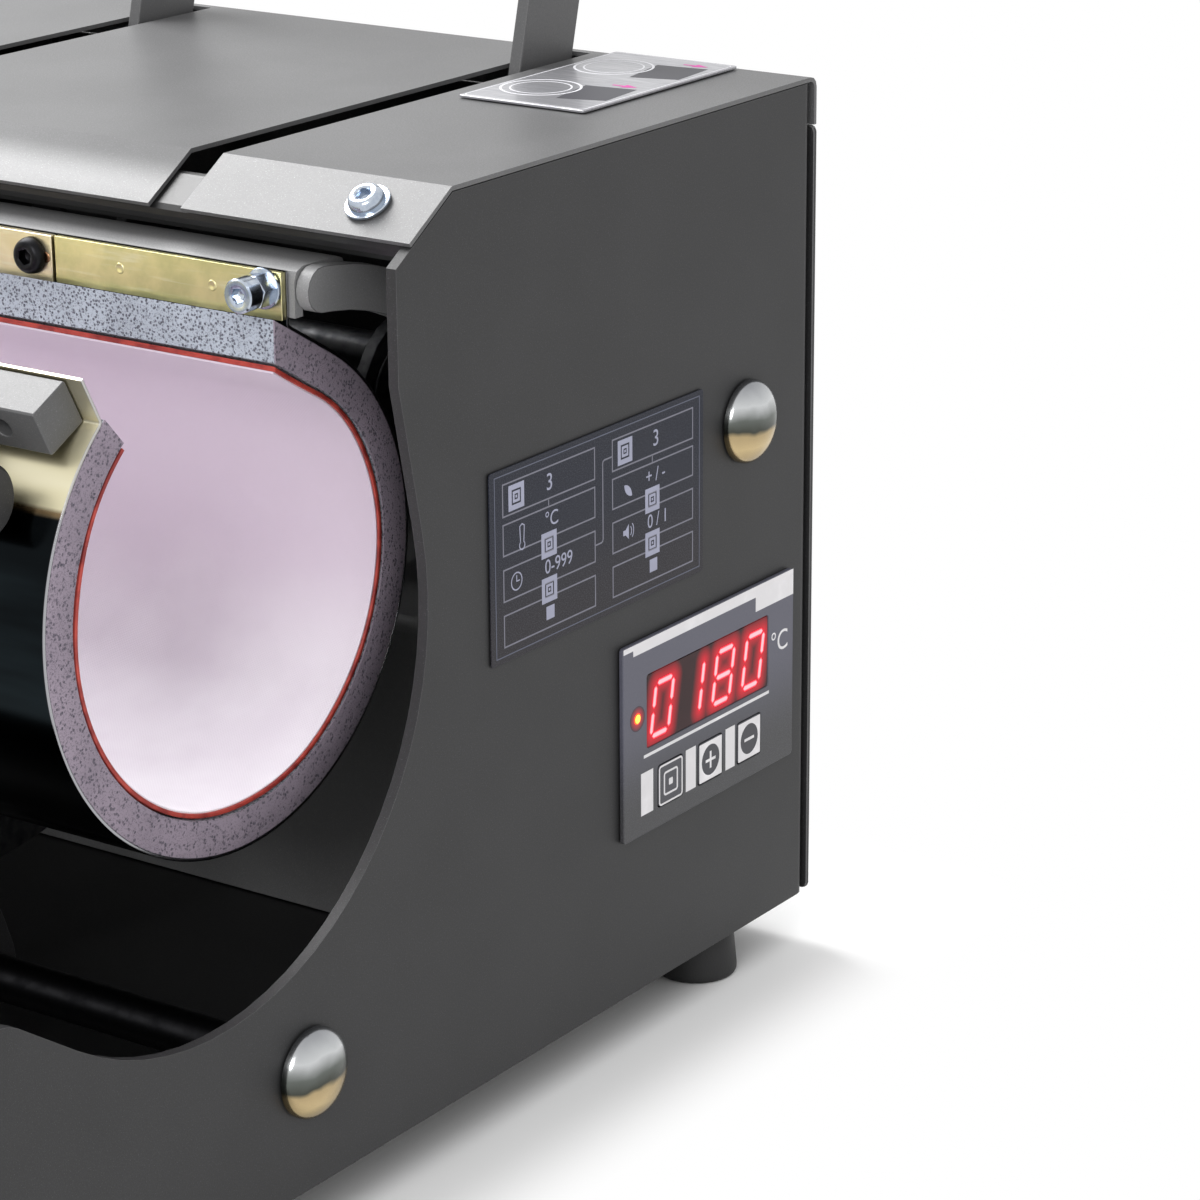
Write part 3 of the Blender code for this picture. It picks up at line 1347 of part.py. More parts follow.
def power_inlet(paints, parts, cutters):
    """The mains inlet: bezel, body, shaped socket with three contacts, and the rocker's pocket."""
    black = paints["black"]
    lift = GAP + REAR_PANEL_THICKNESS + GAP
    bezel = box_outline((-INLET_WIDTH / 2, -INLET_HEIGHT / 2), (INLET_WIDTH / 2, INLET_HEIGHT / 2), INLET_CORNER)
    matrix = rear_matrix(INLET_ACROSS, INLET_DOWN, lift + INLET_BEZEL / 2)
    inlet = extruded("power_inlet", [bezel], INLET_BEZEL, matrix, black, parts)
    half = (INLET_BODY_WIDTH / 2, INLET_BODY_HEIGHT / 2)
    drawn = box_outline((-half[0], -half[1]), half, INLET_BODY_CORNER)
    depth = INLET_BODY_DEPTH + INLET_BEZEL / 2
    matrix = rear_matrix(INLET_ACROSS, INLET_DOWN, lift + INLET_BEZEL / 2 - depth / 2)
    body = extruded("inlet_body", [drawn], depth, matrix, black, cutters)
    combine(inlet, cutter(body), "UNION")
    low = (-SOCKET_WIDTH / 2, -SOCKET_HEIGHT / 2)
    high = (SOCKET_WIDTH / 2, SOCKET_HEIGHT / 2)
    corners = [
        (low[0], low[1]),
        (high[0], low[1]),
        (high[0], high[1] - SOCKET_CORNER),
        (high[0] - SOCKET_CORNER, high[1]),
        (low[0] + SOCKET_CORNER, high[1]),
        (low[0], high[1] - SOCKET_CORNER),
    ]
    outline = rounded(corners, [INLET_BODY_CORNER] * len(corners))
    face = lift + INLET_BEZEL
    depth = SOCKET_POCKET + OVERRUN
    matrix = rear_matrix(INLET_ACROSS, INLET_DOWN + SOCKET_DROP, face + OVERRUN - depth / 2)
    pocket = extruded("inlet_socket_cutter", [outline], depth, matrix, None, cutters)
    combine(inlet, cutter(pocket), "DIFFERENCE")
    for index, shift in enumerate((-1, 0, 1)):
        rise = CONTACT_RISE if shift == 0 else -CONTACT_RISE
        length = CONTACT_LENGTH + OVERRUN
        spot = at(
            INLET_ACROSS + shift * CONTACT_SPREAD,
            (SOCKET_POCKET + OVERRUN - length / 2 - face, INLET_DOWN + SOCKET_DROP - rise),
        )
        size = (CONTACT_WIDTH, length, CONTACT_HEIGHT)
        contact = block("inlet_contact_" + str(index), spot, size, black, cutters)
        combine(inlet, cutter(contact), "UNION")
    size = (ROCKER_WIDTH + 2 * GAP, ROCKER_POCKET + OVERRUN, ROCKER_HEIGHT + 2 * GAP)
    spot = at(INLET_ACROSS, (-face - OVERRUN / 2 + ROCKER_POCKET / 2, INLET_DOWN - ROCKER_RISE))
    hollow = block("rocker_pocket_cutter", spot, size, None, cutters)
    combine(inlet, cutter(hollow), "DIFFERENCE")
    rocker(paints, parts, face)
    return inlet


def rocker(paints, parts, face):
    """The dished rocker that stands on one side, on a pivot across its pocket."""
    half_width = ROCKER_WIDTH / 2 - GAP
    half_height = ROCKER_HEIGHT / 2 - GAP
    tilt = tan(radians(ROCKER_SWING_DEG) / 2)
    slack = ROCKER_DEPTH * tan(radians(ROCKER_SWING_DEG))
    proud = ROCKER_PROUD
    corners = [
        (-half_width, proud + half_width * tilt),
        (0, proud - ROCKER_DISH),
        (half_width, proud - half_width * tilt),
        (half_width - slack, -ROCKER_DEPTH),
        (slack - half_width, -ROCKER_DEPTH),
    ]
    drawn = rounded(corners, [0, ROCKER_WIDTH, 0, ROCKER_CORNER, ROCKER_CORNER])
    spot = at(INLET_ACROSS, (-face, INLET_DOWN - ROCKER_RISE))
    turn = Matrix(((-1, 0, 0), (0, 1, 0), (0, 0, -1))).to_4x4()
    matrix = Matrix.Translation(spot) @ turn
    key = extruded("power_rocker", [drawn], 2 * half_height, matrix, paints["key"], parts)
    pivot = pivot_at("power_rocker_pivot", at(INLET_ACROSS, (-face, INLET_DOWN - ROCKER_RISE)), parts)
    carried(pivot, [key])
    return key


def build():
    """Model the press."""
    clear_scene()
    parts = collection("tumbler_heat_press")
    cutters = collection("cutters")
    paints = {
        "coat": paint("dark_powder_coat", (0.068, 0.068, 0.07), 0.55, 0.2),
        "cover": paint("grey_powder_coat", (0.16, 0.16, 0.165), 0.5, 0.2),
        "inner": paint("black_inside", (0.02, 0.02, 0.022), 0.6),
        "zinc": paint("yellow_zinc", (0.62, 0.56, 0.3), 0.3, 1.0),
        "cream": paint("pale_zinc", (0.75, 0.68, 0.52), 0.35, 1.0),
        "steel": paint("bright_steel", (0.6, 0.63, 0.68), 0.25, 1.0),
        "chrome": paint("chrome", (0.8, 0.8, 0.8), 0.08, 1.0),
        "black": paint("black_plastic", (0.012, 0.012, 0.013), 0.4),
        "rubber": paint("black_rubber", (0.015, 0.015, 0.015), 0.85),
        "foam": paint("heater_foam", (0.3, 0.3, 0.37), 0.95),
        "mat": paint("heater_mat", (0.62, 0.5, 0.58), 0.7),
        "strap": paint("sprung_strap", (0.7, 0.66, 0.5), 0.2, 1.0),
        "slate": paint("slate_panel", (0.09, 0.09, 0.12), 0.45),
        "display": paint("display_red", (0.12, 0.005, 0.01), 0.2),
        "key": paint("pale_key", (0.75, 0.75, 0.77), 0.45),
        "navy": paint("navy_label", (0.03, 0.035, 0.055), 0.4),
        "silver": paint("silver_label", (0.6, 0.6, 0.62), 0.35, 0.6),
    }
    for word, way in SIDES.items():
        side_plate(word + "_side_plate", way, paints["coat"], parts, cutters)
        seat = at(way * (HALF_WIDTH + GAP), FRONT_AXLE)
        shaft_cap(word + "_front_cap", seat, way, paints["chrome"], parts)
        for end, forward in (("rear", FOOT_REAR_INSET), ("front", BODY_DEPTH - FOOT_FRONT_INSET)):
            spot = Vector((way * (HALF_WIDTH - FOOT_INSET), MIDDLE_FORWARD - forward, 0))
            foot(word + "_" + end + "_foot", spot, paints["rubber"], parts)
    cover = top_cover(paints["cover"], parts, cutters)
    beam = front_inner_beam(paints["cover"], parts)
    out = Vector((0, -sin(LIP_ANGLE), cos(LIP_ANGLE)))
    for word, way in SIDES.items():
        seat = at(way * (HALF_WIDTH - COVER_SCREW_INSET), on_lip(COVER_SCREW_ALONG, -2 * GAP - COVER_THICKNESS))
        hole = screw_hole(word + "_cover_screw_hole", seat, out, cutters)
        for thing in (cover, beam):
            combine(thing, hole, "DIFFERENCE")
        name = word + "_cover_screw"
        screw(name, "flanged", seat, out, SCREW_SHANK_LENGTH / 2, paints["steel"], parts, cutters)
    bottom_pan(paints["inner"], parts)
    inner_bulkhead(paints["coat"], parts)
    rear_panel(paints["coat"], parts)
    full_shaft("front_axle", FRONT_AXLE, FRONT_AXLE_RADIUS, paints["steel"], parts)
    strap = heater_strap(paints["strap"], parts)
    band_layer("heater_foam", FOAM_START, FOAM_THICKNESS, paints["foam"], parts)
    band_layer("heater_mat", MAT_START, MAT_THICKNESS, paints["mat"], parts)
    upper_jaw(paints, parts, cutters, strap)
    front_jaw(paints, parts, cutters, strap)
    handle_pivot = handle(paints, parts, cutters)
    for word, way in SIDES.items():
        pull_link(word + "_pull_link", way, paints["steel"], parts, handle_pivot)
    controller(paints, parts)
    labels(paints, parts)
    power_inlet(paints, parts, cutters)


build()
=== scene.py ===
# %% [markdown]
# # A tumbler heat press, dressed for its portrait
#
# The press is a folded steel housing that cradles a looped heater band. A tumbler goes into the loop, the
# handle pulls the front jaw shut, and the band warms the print on the tumbler. The solids come from a CAD model,
# so every piece that is made here is placed by the CAD model's own measures, in metres, with Z up, the front of
# the press towards -Y and the controller towards +X.
#
# This cell loads those solids. Each one is an object at the origin with its place in its mesh. The box round all
# of them is kept, because what is added later mustn't make the press bigger.

from math import acos, atan2, cos, degrees, pi, radians, sin, tan
import json

import bmesh
import bpy
from mathutils import Matrix, Vector
from mathutils.geometry import tessellate_polygon


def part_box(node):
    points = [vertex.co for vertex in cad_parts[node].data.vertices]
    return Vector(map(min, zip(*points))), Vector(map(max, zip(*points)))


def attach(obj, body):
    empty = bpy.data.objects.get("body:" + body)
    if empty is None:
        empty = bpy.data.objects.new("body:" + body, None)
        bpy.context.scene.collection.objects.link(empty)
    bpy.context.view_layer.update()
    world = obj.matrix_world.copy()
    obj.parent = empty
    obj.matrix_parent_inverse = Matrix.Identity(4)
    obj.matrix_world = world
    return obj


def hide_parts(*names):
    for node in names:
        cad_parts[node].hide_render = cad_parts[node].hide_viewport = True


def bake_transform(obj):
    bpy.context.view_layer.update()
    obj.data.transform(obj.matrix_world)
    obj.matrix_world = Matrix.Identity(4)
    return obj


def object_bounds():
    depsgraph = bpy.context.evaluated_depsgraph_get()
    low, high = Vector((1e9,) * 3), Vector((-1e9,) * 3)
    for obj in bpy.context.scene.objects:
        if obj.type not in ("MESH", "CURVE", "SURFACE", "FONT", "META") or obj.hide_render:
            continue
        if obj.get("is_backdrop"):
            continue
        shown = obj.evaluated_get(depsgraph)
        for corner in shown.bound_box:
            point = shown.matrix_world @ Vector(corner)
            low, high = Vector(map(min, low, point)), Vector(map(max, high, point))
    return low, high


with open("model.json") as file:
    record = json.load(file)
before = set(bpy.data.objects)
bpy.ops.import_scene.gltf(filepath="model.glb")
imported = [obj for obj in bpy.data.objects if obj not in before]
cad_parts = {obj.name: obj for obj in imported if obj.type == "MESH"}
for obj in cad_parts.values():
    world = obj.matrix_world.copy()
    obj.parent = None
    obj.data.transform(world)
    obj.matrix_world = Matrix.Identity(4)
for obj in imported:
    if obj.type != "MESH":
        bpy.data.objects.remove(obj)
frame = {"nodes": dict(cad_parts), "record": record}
solids_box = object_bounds()
body_of = {}
for body, members in frame["record"]["behaviour"]["bodies"].items():
    for member in members:
        body_of[member] = body
print("box of the solids in mm:", [[round(v * 1000, 1) for v in corner] for corner in solids_box])

# %% [markdown]
# ## The camera
#
# The photograph is a close crop from the front right, a little above the press, with a long lens. A camera can be
# turned by hand until it looks right, or its place can be worked out from corners whose size is known. The second
# way was used: the numbers below put the plate's corners, the labels and the two chrome caps where the
# photograph has them, as nearly as one undistorted lens can. The lamps are aimed by the same two helpers later.

# %% Set up the camera
CAMERA_PLACE = Vector((0.7102, -0.7628, 0.4629))
CAMERA_TARGET = Vector((0.1453, 0.0526, 0.1338))
CAMERA_ROLL_DEG = -0.395
LENS_MM, SENSOR_MM = 118.3, 36


def placed(name, data):
    """A new object that is linked straight to the scene."""
    made = bpy.data.objects.new(name, data)
    bpy.context.scene.collection.objects.link(made)
    return made


def aimed(place, target):
    """The matrix of an object at a place whose -Z axis looks at a target."""
    look = (Vector(target) - Vector(place)).to_track_quat("-Z", "Y").to_matrix().to_4x4()
    return Matrix.Translation(place) @ look


camera_data = bpy.data.cameras.new("close_lens")
camera_data.lens = LENS_MM
camera_data.sensor_width = SENSOR_MM
camera_data.clip_start = 0.01
camera = placed("close_camera", camera_data)
roll = Matrix.Rotation(radians(CAMERA_ROLL_DEG), 4, "Z")
camera.matrix_world = aimed(CAMERA_PLACE, CAMERA_TARGET) @ roll
bpy.context.scene.camera = camera
bpy.context.scene.view_settings.view_transform = "Standard"
print("camera to target:", round((CAMERA_TARGET - CAMERA_PLACE).length, 3), "m")

# %% [markdown]
# ## Sums with sockets
#
# A finish is a small sum: this much grain, plus that much wear, times a mask. Wiring Math nodes by hand hides the
# sum, so a socket is wrapped in a class that understands +, -, * and **. `a * 2 + 1` then adds the two
# Math nodes. Every other node comes from one method, `node`, which sets the node's own settings first and
# its sockets after them. Colours are blended with a Mix node, because a Math node would turn them grey.

# %% A socket that takes part in sums
class Signal:
    """An output of a shader node that takes part in Python sums."""

    def __init__(self, tree, socket=None):
        self.tree = tree
        self.socket = socket

    def node(self, kind, settings=None, sockets=None, output=0):
        """Add a node: its settings first, with a ramp's stops among them, then its sockets by name or number."""
        made = self.tree.nodes.new(kind)
        for name, value in (settings or {}).items():
            if name == "stops":
                while len(made.color_ramp.elements) < len(value):
                    made.color_ramp.elements.new(1)
                for element, (place, colour) in zip(made.color_ramp.elements, value):
                    element.position = place
                    element.color = colour
            else:
                setattr(made, name, value)
        for name, value in (sockets or {}).items():
            if isinstance(value, Signal):
                self.tree.links.new(value.socket, made.inputs[name])
            else:
                made.inputs[name].default_value = value
        return Signal(self.tree, made.outputs[output])

    def maths(self, operation, *values):
        """One Math node on numbers or signals."""
        return self.node("ShaderNodeMath", {"operation": operation}, dict(enumerate(values)))

    def __add__(self, other):
        return self.maths("ADD", self, other)

    def __radd__(self, other):
        return self.maths("ADD", other, self)

    def __sub__(self, other):
        return self.maths("SUBTRACT", self, other)

    def __rsub__(self, other):
        return self.maths("SUBTRACT", other, self)

    def __mul__(self, other):
        return self.maths("MULTIPLY", self, other)

    def __pow__(self, other):
        return self.maths("POWER", self, other)

    def between(self, low, high):
        """0 below low, 1 above high, and smooth between them."""
        settings = {"interpolation_type": "SMOOTHSTEP"}
        return self.node("ShaderNodeMapRange", settings, {"Value": self, "From Min": low, "From Max": high})

    def blend(self, first, second):
        """The first colour where this signal is 0 and the second where it is 1."""
        return self.node("ShaderNodeMix", {"data_type": "RGBA"}, {0: self, 6: first, 7: second}, 2)


def tone(red, green, blue):
    """A colour as a picture editor shows it, 0 to 255, turned into the light that a shader works with."""
    shares = [value / 255 for value in (red, green, blue)]
    return (*[v / 12.92 if v <= 0.04045 else ((v + 0.055) / 1.055) ** 2.4 for v in shares], 1)


def scaled(shade, share, lift=0.0):
    """A colour with its light scaled and lifted."""
    return (*[value * share + lift for value in shade[:3]], 1)


print("tone of mid grey:", [round(v, 3) for v in tone(128, 128, 128)])

# %% [markdown]
# ## Starting a finish
#
# Every finish below is a Principled shader. What is the same all over is set as a plain number, and only what
# changes over the surface is wired. Noise is read at Object coordinates, which are metres here, so a noise
# scale of 1 / 0.0004 gives grains of 0.4 mm. A finish may also read one Object coordinate, a number that the
# mesh stores for each corner, or its place on the band from the band's UV map.

# %% Start a finish
def new_finish(name, **plain):
    """A material with one Principled shader whose plain values are set. Gives the material, shader and signals."""
    material = bpy.data.materials.new(name)
    material.use_nodes = True
    shader = material.node_tree.nodes["Principled BSDF"]
    for socket, value in plain.items():
        shader.inputs[socket.replace("_", " ")].default_value = value
    return material, shader, Signal(material.node_tree)


def wire(shader, **signals):
    """Feed signals into the shader's sockets."""
    for socket, signal in signals.items():
        signal.tree.links.new(signal.socket, shader.inputs[socket.replace("_", " ")])


def object_place(pen, axis=None):
    """The Object coordinates, or one of them: 0 to the right, 1 to the rear, 2 up."""
    place = pen.node("ShaderNodeTexCoord", output=3)
    return place if axis is None else pen.node("ShaderNodeSeparateXYZ", {}, {0: place}, axis)


def stored(pen, attribute):
    """A number that the mesh stores for each corner."""
    return pen.node("ShaderNodeAttribute", {"attribute_name": attribute}, output=2)


def band_place(pen):
    """How far along and how far across the band a spot lies, in metres."""
    spot = pen.node("ShaderNodeUVMap", {"uv_map": "UVMap"})
    return [pen.node("ShaderNodeSeparateXYZ", {}, {0: spot}, axis) for axis in (0, 1)]


def grain(pen, size, detail=2.0, rough=0.5, stretch=None):
    """Noise of a size in metres at Object coordinates, stretched along an axis when a triple is given."""
    place = object_place(pen)
    if stretch:
        place = pen.node("ShaderNodeMapping", {"vector_type": "POINT"}, {"Vector": place, "Scale": stretch})
    sockets = {"Vector": place, "Scale": 1 / size, "Detail": detail, "Roughness": rough}
    return pen.node("ShaderNodeTexNoise", {}, sockets)


def relief(pen, height, depth, strength=1.0):
    """A bump whose height is a signal and whose depth is in metres."""
    return pen.node("ShaderNodeBump", {}, {"Height": height, "Distance": depth, "Strength": strength})


print("helpers ready")

# %% [markdown]
# ## Powder coat
#
# The housing, the arms and the jaws are steel with a dark grey powder coat. Powder melts into a skin that isn't
# quite smooth: seen close it has a fine pebbled grain, with paler specks where a grain catches the light. Three
# sizes of noise make it: a slow mottle, the grain itself, and a sharp one from which only the peaks are kept.
# Where a sheet is cut, the coat is thin on the edge and shows paler, so a second, lighter coat is made for edges.
# Lighter copies of this coat on the arms, jaws, bulkhead and cover are painted light; a near-black copy inside is
# painted shade.

# %% Powder coats
PEBBLE = 0.00042


def powder_coat(name, shade, speck, roughness=0.42, gloss=0.5):
    """A pebbled coat of one shade with paler specks."""
    material, shader, pen = new_finish(name, Specular_IOR_Level=gloss)
    mottle = grain(pen, 0.03, 3).between(0.3, 0.7)
    pebble = grain(pen, PEBBLE, 2)
    specks = grain(pen, PEBBLE * 0.7, 1).between(0.62, 0.76)
    colour = mottle.blend(scaled(shade, 0.86), shade)
    colour = (pebble.between(0.35, 0.65) * 0.35).blend(colour, scaled(shade, 0.7))
    colour = (specks * 0.5).blend(colour, speck)
    shine = roughness + (pebble - 0.5) * 0.2
    wire(shader, Base_Color=colour, Roughness=shine, Normal=relief(pen, pebble, 0.000016))
    return material


coat = powder_coat("dark_powder_coat", tone(45, 45, 46), tone(92, 92, 94), 0.5, 0.36)
# Lighter copies of the same coat for the arms, the jaws and bulkhead, and the cover: painted light.
arm_coat_painted_light = powder_coat("arm_powder_coat", tone(86, 86, 87), tone(124, 124, 126))
pale_coat_painted_light = powder_coat("pale_jaw_coat", tone(138, 138, 139), tone(176, 176, 178), 0.46)
cover_coat_painted_light = powder_coat("cover_powder_coat", tone(92, 92, 93), tone(150, 150, 152))
edge_coat = powder_coat("thin_coat_on_edges", tone(88, 88, 89), tone(140, 140, 140))
# A near-black copy of the same coat for the inside: painted shade.
inner_coat_painted_shade = powder_coat("dark_inside_coat", tone(24, 24, 25), tone(60, 60, 62), 0.38)
print("coats:", 6)

# %% [markdown]
# ## Bright metals
#
# The caps and screws are plated: their colour is almost white and their look comes from what they mirror, so
# only faint clouds and a fine grain are drawn. The clamp strips are yellow zinc, whose colour drifts between
# gold and a pale green as the coating's thickness changes. The painted reflections on the strap's spring steel
# and on the caps need their pieces' own measures, so those finishes are made further down.

# %% Bright metals
def plated(name, shade, cloud, roughness, size=0.004):
    """A plated metal with faint clouds."""
    material, shader, pen = new_finish(name, Metallic=1.0)
    clouds = grain(pen, size, 3).between(0.35, 0.7)
    colour = clouds.blend(shade, cloud)
    shine = roughness + clouds * 0.08
    wire(shader, Base_Color=colour, Roughness=shine, Normal=relief(pen, grain(pen, 0.0003, 1), 0.000004))
    return material


def yellow_zinc(name, gold, pale):
    """Passivated zinc: gold that drifts to pale green, with painted highlight streaks along it."""
    material, shader, pen = new_finish(name, Metallic=1.0)
    drift = grain(pen, 0.012, 4, 0.6).between(0.3, 0.72)
    # Pale streaks along the strip are painted highlights, and the roughness follows them.
    painted_highlight_streaks = grain(pen, 0.0016, 3, 0.6, (0.08, 1, 1)).between(0.52, 0.74)
    fine = grain(pen, 0.0005, 2, 0.5, (0.15, 1, 1))
    colour = drift.blend(gold, pale)
    colour = (painted_highlight_streaks * 0.45).blend(colour, tone(238, 236, 214))
    wire(shader, Base_Color=colour, Roughness=0.3 + painted_highlight_streaks * 0.16, Normal=relief(pen, fine, 0.000015))
    return material


chrome = plated("chrome_plate", tone(214, 216, 219), tone(204, 206, 210), 0.1)
brown_rivet = plated("brown_rivet", tone(150, 112, 84), tone(112, 84, 60), 0.3, 0.001)
screw_steel = plated("zinc_screw_steel", tone(196, 204, 214), tone(160, 172, 190), 0.16)
shaft_steel = plated("turned_steel", tone(112, 112, 114), tone(84, 85, 88), 0.36)
blackened = plated("blackened_steel", tone(42, 42, 44), tone(30, 30, 32), 0.34)
zinc = yellow_zinc("yellow_zinc_strip", tone(228, 218, 166), tone(202, 198, 146))
cream = yellow_zinc("cream_zinc_plate", tone(236, 224, 194), tone(222, 208, 170))
print("metals:", 7)

# %% [markdown]
# ## Foam, heater rubber and cloth
#
# The band is a sandwich: a sprung strap outside, a grey sponge that evens out the pressure, and a silicone
# heater whose red rubber shows only as a line at its cut edge, under a fine white glass cloth. The sponge is
# open-celled where it was cut, so its pores are Voronoi cells: the distance to a cell's middle gives a small
# dark pore whose darkness is painted shade. The cloth is read from the band's own UV map, in metres along and
# across it, so that its threads follow the loop.

# %% Soft finishes
BAND_HALF = 0.114
PORES_PER_METRE = 1050.0


def sponge(name, side, front, pore_shade):
    """Cut sponge with pores darkened by painted shade: fewer on the pressed sides, at half the width, than on the
    sawn face.
    """
    material, shader, pen = new_finish(name, Roughness=0.92)
    place = object_place(pen)
    warp = pen.node("ShaderNodeTexNoise", {}, {"Vector": place, "Scale": 700.0, "Detail": 2.0}, 1)
    place = pen.node("ShaderNodeMix", {"data_type": "VECTOR"}, {0: 0.0006, 4: place, 5: warp}, 1)
    cells, small = [
        pen.node("ShaderNodeTexVoronoi", {}, {"Vector": place, "Scale": scale, "Randomness": 1.0})
        for scale in (PORES_PER_METRE, 2 * PORES_PER_METRE)
    ]
    sideways = pen.maths("ABSOLUTE", object_place(pen, 0))
    sawn = 1 - sideways.between(BAND_HALF - 0.0006, BAND_HALF - 0.0003)
    chosen = (grain(pen, 0.0018, 2) + sawn * 0.1).between(0.42, 0.55)
    pore_shade_mask = (1 - cells.between(0.24, 0.5)) * chosen * (0.7 + sawn * 0.1)
    pore_shade_mask = pore_shade_mask + (1 - small.between(0.15, 0.45)) * (0.36 + sawn * 0.12)
    clouds = grain(pen, 0.02, 3).between(0.3, 0.7)
    colour = (clouds * 0.2).blend(sawn.blend(side, front), pore_shade)
    wire(shader, Base_Color=pore_shade_mask.blend(colour, pore_shade), Normal=relief(pen, 1 - pore_shade_mask, 0.0003, 0.8))
    return material


def silicone(name, shade, streak):
    """Cast rubber with faint streaks."""
    material, shader, pen = new_finish(name, Specular_IOR_Level=0.4)
    streaks = grain(pen, 0.004, 3).between(0.35, 0.7)
    fine = grain(pen, 0.0005, 2)
    colour = streaks.blend(shade, streak)
    wire(shader, Base_Color=colour, Roughness=0.4 + fine * 0.2, Normal=relief(pen, fine, 0.00004))
    return material


def glass_cloth(name, shade, shadow, upper_loop_shade, thread=0.0009):
    """Plain-woven cloth by the band's UV map in metres, with painted shade that makes it greyer in the upper part
    of the loop.
    """
    material, shader, pen = new_finish(name, Coat_Weight=0.15, Coat_Roughness=0.35)
    warp, weft = [pen.maths("SINE", distance * (2 * pi / thread)) for distance in band_place(pen)]
    weave = warp * weft * 0.5 + 0.5
    lines = weave * 0.6 + pen.maths("ABSOLUTE", warp) * 0.4
    clouds = grain(pen, 0.03, 3).between(0.3, 0.75)
    # Painted shade: the cloth turns greyer and more violet with height, where the loop's inside faces down.
    cloth_with_painted_shade = (object_place(pen, 2) + clouds * 0.01).between(0.1, 0.165).blend(shade, upper_loop_shade)
    colour = (lines * 0.4 + clouds * 0.2).blend(cloth_with_painted_shade, shadow)
    wire(shader, Base_Color=colour, Roughness=0.5 + lines * 0.2, Normal=relief(pen, lines, 0.00005, 0.6))
    return material


foam = sponge("grey_sponge", tone(148, 136, 149), tone(178, 186, 198), tone(66, 64, 76))
heater_rubber = silicone("red_silicone", tone(176, 66, 56), tone(128, 38, 36))
cloth = glass_cloth("white_glass_cloth", tone(252, 250, 253), tone(212, 202, 214), tone(208, 193, 207))
print("soft finishes:", foam.name, heater_rubber.name, cloth.name)

# %% [markdown]
# ## Plastics, rubber and printed foil
#
# The controller's front is a matt foil over plastic: slate at the top and nearly as dark as the coat below. The
# feet and the grip are black rubber, the inlet is moulded plastic with a spark-eroded grain. The side label is
# a dark blue foil that turns a little brown towards its foot, and the plate on the cover is brushed aluminium
# under a clear layer. The inks differ in their colour only.

# %% Plastics, rubber and foil
INK_SHADES = {
    "white": (216, 214, 216),
    "pale": (150, 152, 172),
    "dark": (58, 58, 64),
    "line": (112, 112, 124),
    "faint": (84, 88, 104),
    "grey": (214, 214, 218),
    "violet": (196, 60, 150),
}


def moulded(name, shade, roughness, size=0.0003, depth=0.00003):
    """Moulded plastic or rubber with an even grain."""
    material, shader, pen = new_finish(name)
    pebble = grain(pen, size, 2)
    dust = grain(pen, 0.012, 4, 0.6).between(0.45, 0.8)
    colour = (dust * 0.4).blend(shade, scaled(shade, 1.5, 0.01))
    wire(shader, Base_Color=colour, Roughness=roughness + dust * 0.12, Normal=relief(pen, pebble, depth))
    return material


def foil(name, top, bottom, low, high, gloss=0.5):
    """Printed foil whose shade changes from its foot, at height low, to its top, at height high."""
    material, shader, pen = new_finish(name, Specular_IOR_Level=gloss)
    fine = grain(pen, 0.00035, 2)
    colour = object_place(pen, 2).between(low, high).blend(bottom, top)
    colour = (fine.between(0.4, 0.7) * 0.18).blend(colour, tone(120, 120, 128))
    wire(shader, Base_Color=colour, Roughness=0.42 + fine * 0.1, Normal=relief(pen, fine, 0.000012))
    return material


def brushed_plate(name, shade, streak):
    """Brushed aluminium under a clear layer, its lines running across the press."""
    material, shader, pen = new_finish(name, Metallic=0.85, Coat_Weight=0.3, Coat_Roughness=0.12)
    lines = grain(pen, 0.0004, 3, 0.6, (0.04, 1, 1))
    colour = lines.between(0.35, 0.7).blend(shade, streak)
    wire(shader, Base_Color=colour, Roughness=0.3 + lines * 0.2, Normal=relief(pen, lines, 0.000006))
    return material


panel_low, panel_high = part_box("controller_panel")
label_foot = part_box("side_label")[0].z
slate = foil("slate_foil", tone(82, 82, 95), tone(52, 52, 54), panel_low.z + 0.006, panel_low.z + 0.036)
navy = foil("navy_foil", tone(16, 21, 36), tone(32, 29, 34), label_foot + 0.004, label_foot + 0.036, 0.24)
key_foil = foil("key_foil", tone(64, 64, 72), tone(58, 58, 64), panel_low.z, panel_high.z)
inks = {name: moulded(name + "_ink", tone(*shade), 0.5, 0.0004, 0.000005) for name, shade in INK_SHADES.items()}
rubber = moulded("black_rubber", tone(26, 26, 27), 0.6, 0.0005, 0.00005)
grip_rubber = moulded("grip_rubber", tone(34, 34, 35), 0.72, 0.0006, 0.0001)
black_plastic = moulded("black_plastic", tone(30, 30, 31), 0.42)
rocker_plastic = moulded("rocker_plastic", tone(26, 26, 28), 0.28)
silver = brushed_plate("silver_plate", tone(186, 186, 190), tone(154, 154, 160))
print("foils and plastics:", 13)

# %% [markdown]
# ## Softening the edges of the solids
#
# The solids have knife edges, and no real sheet has. A copy of each is merged first, because its triangles are
# loose, its flat triangles are joined, and a Bevel modifier takes a few tenths of a millimetre off every edge.
# The bevel can give its own faces a second material: that is where the thin, paler coat goes. The copy then
# stands in for the solid and rides on the same body.

# %% Soften edges
MERGE_WITHIN = 0.000002
FLAT_WITHIN_DEG = 0.2
EDGE_DEG = 32

press = bpy.data.collections.new("press")
bpy.context.scene.collection.children.link(press)


def as_object(name, mesh, *materials):
    """An object at the origin with these materials."""
    piece = bpy.data.objects.new(name, mesh)
    press.objects.link(piece)
    if materials:
        mesh.materials.clear()
        for material in materials:
            mesh.materials.append(material)
    return piece


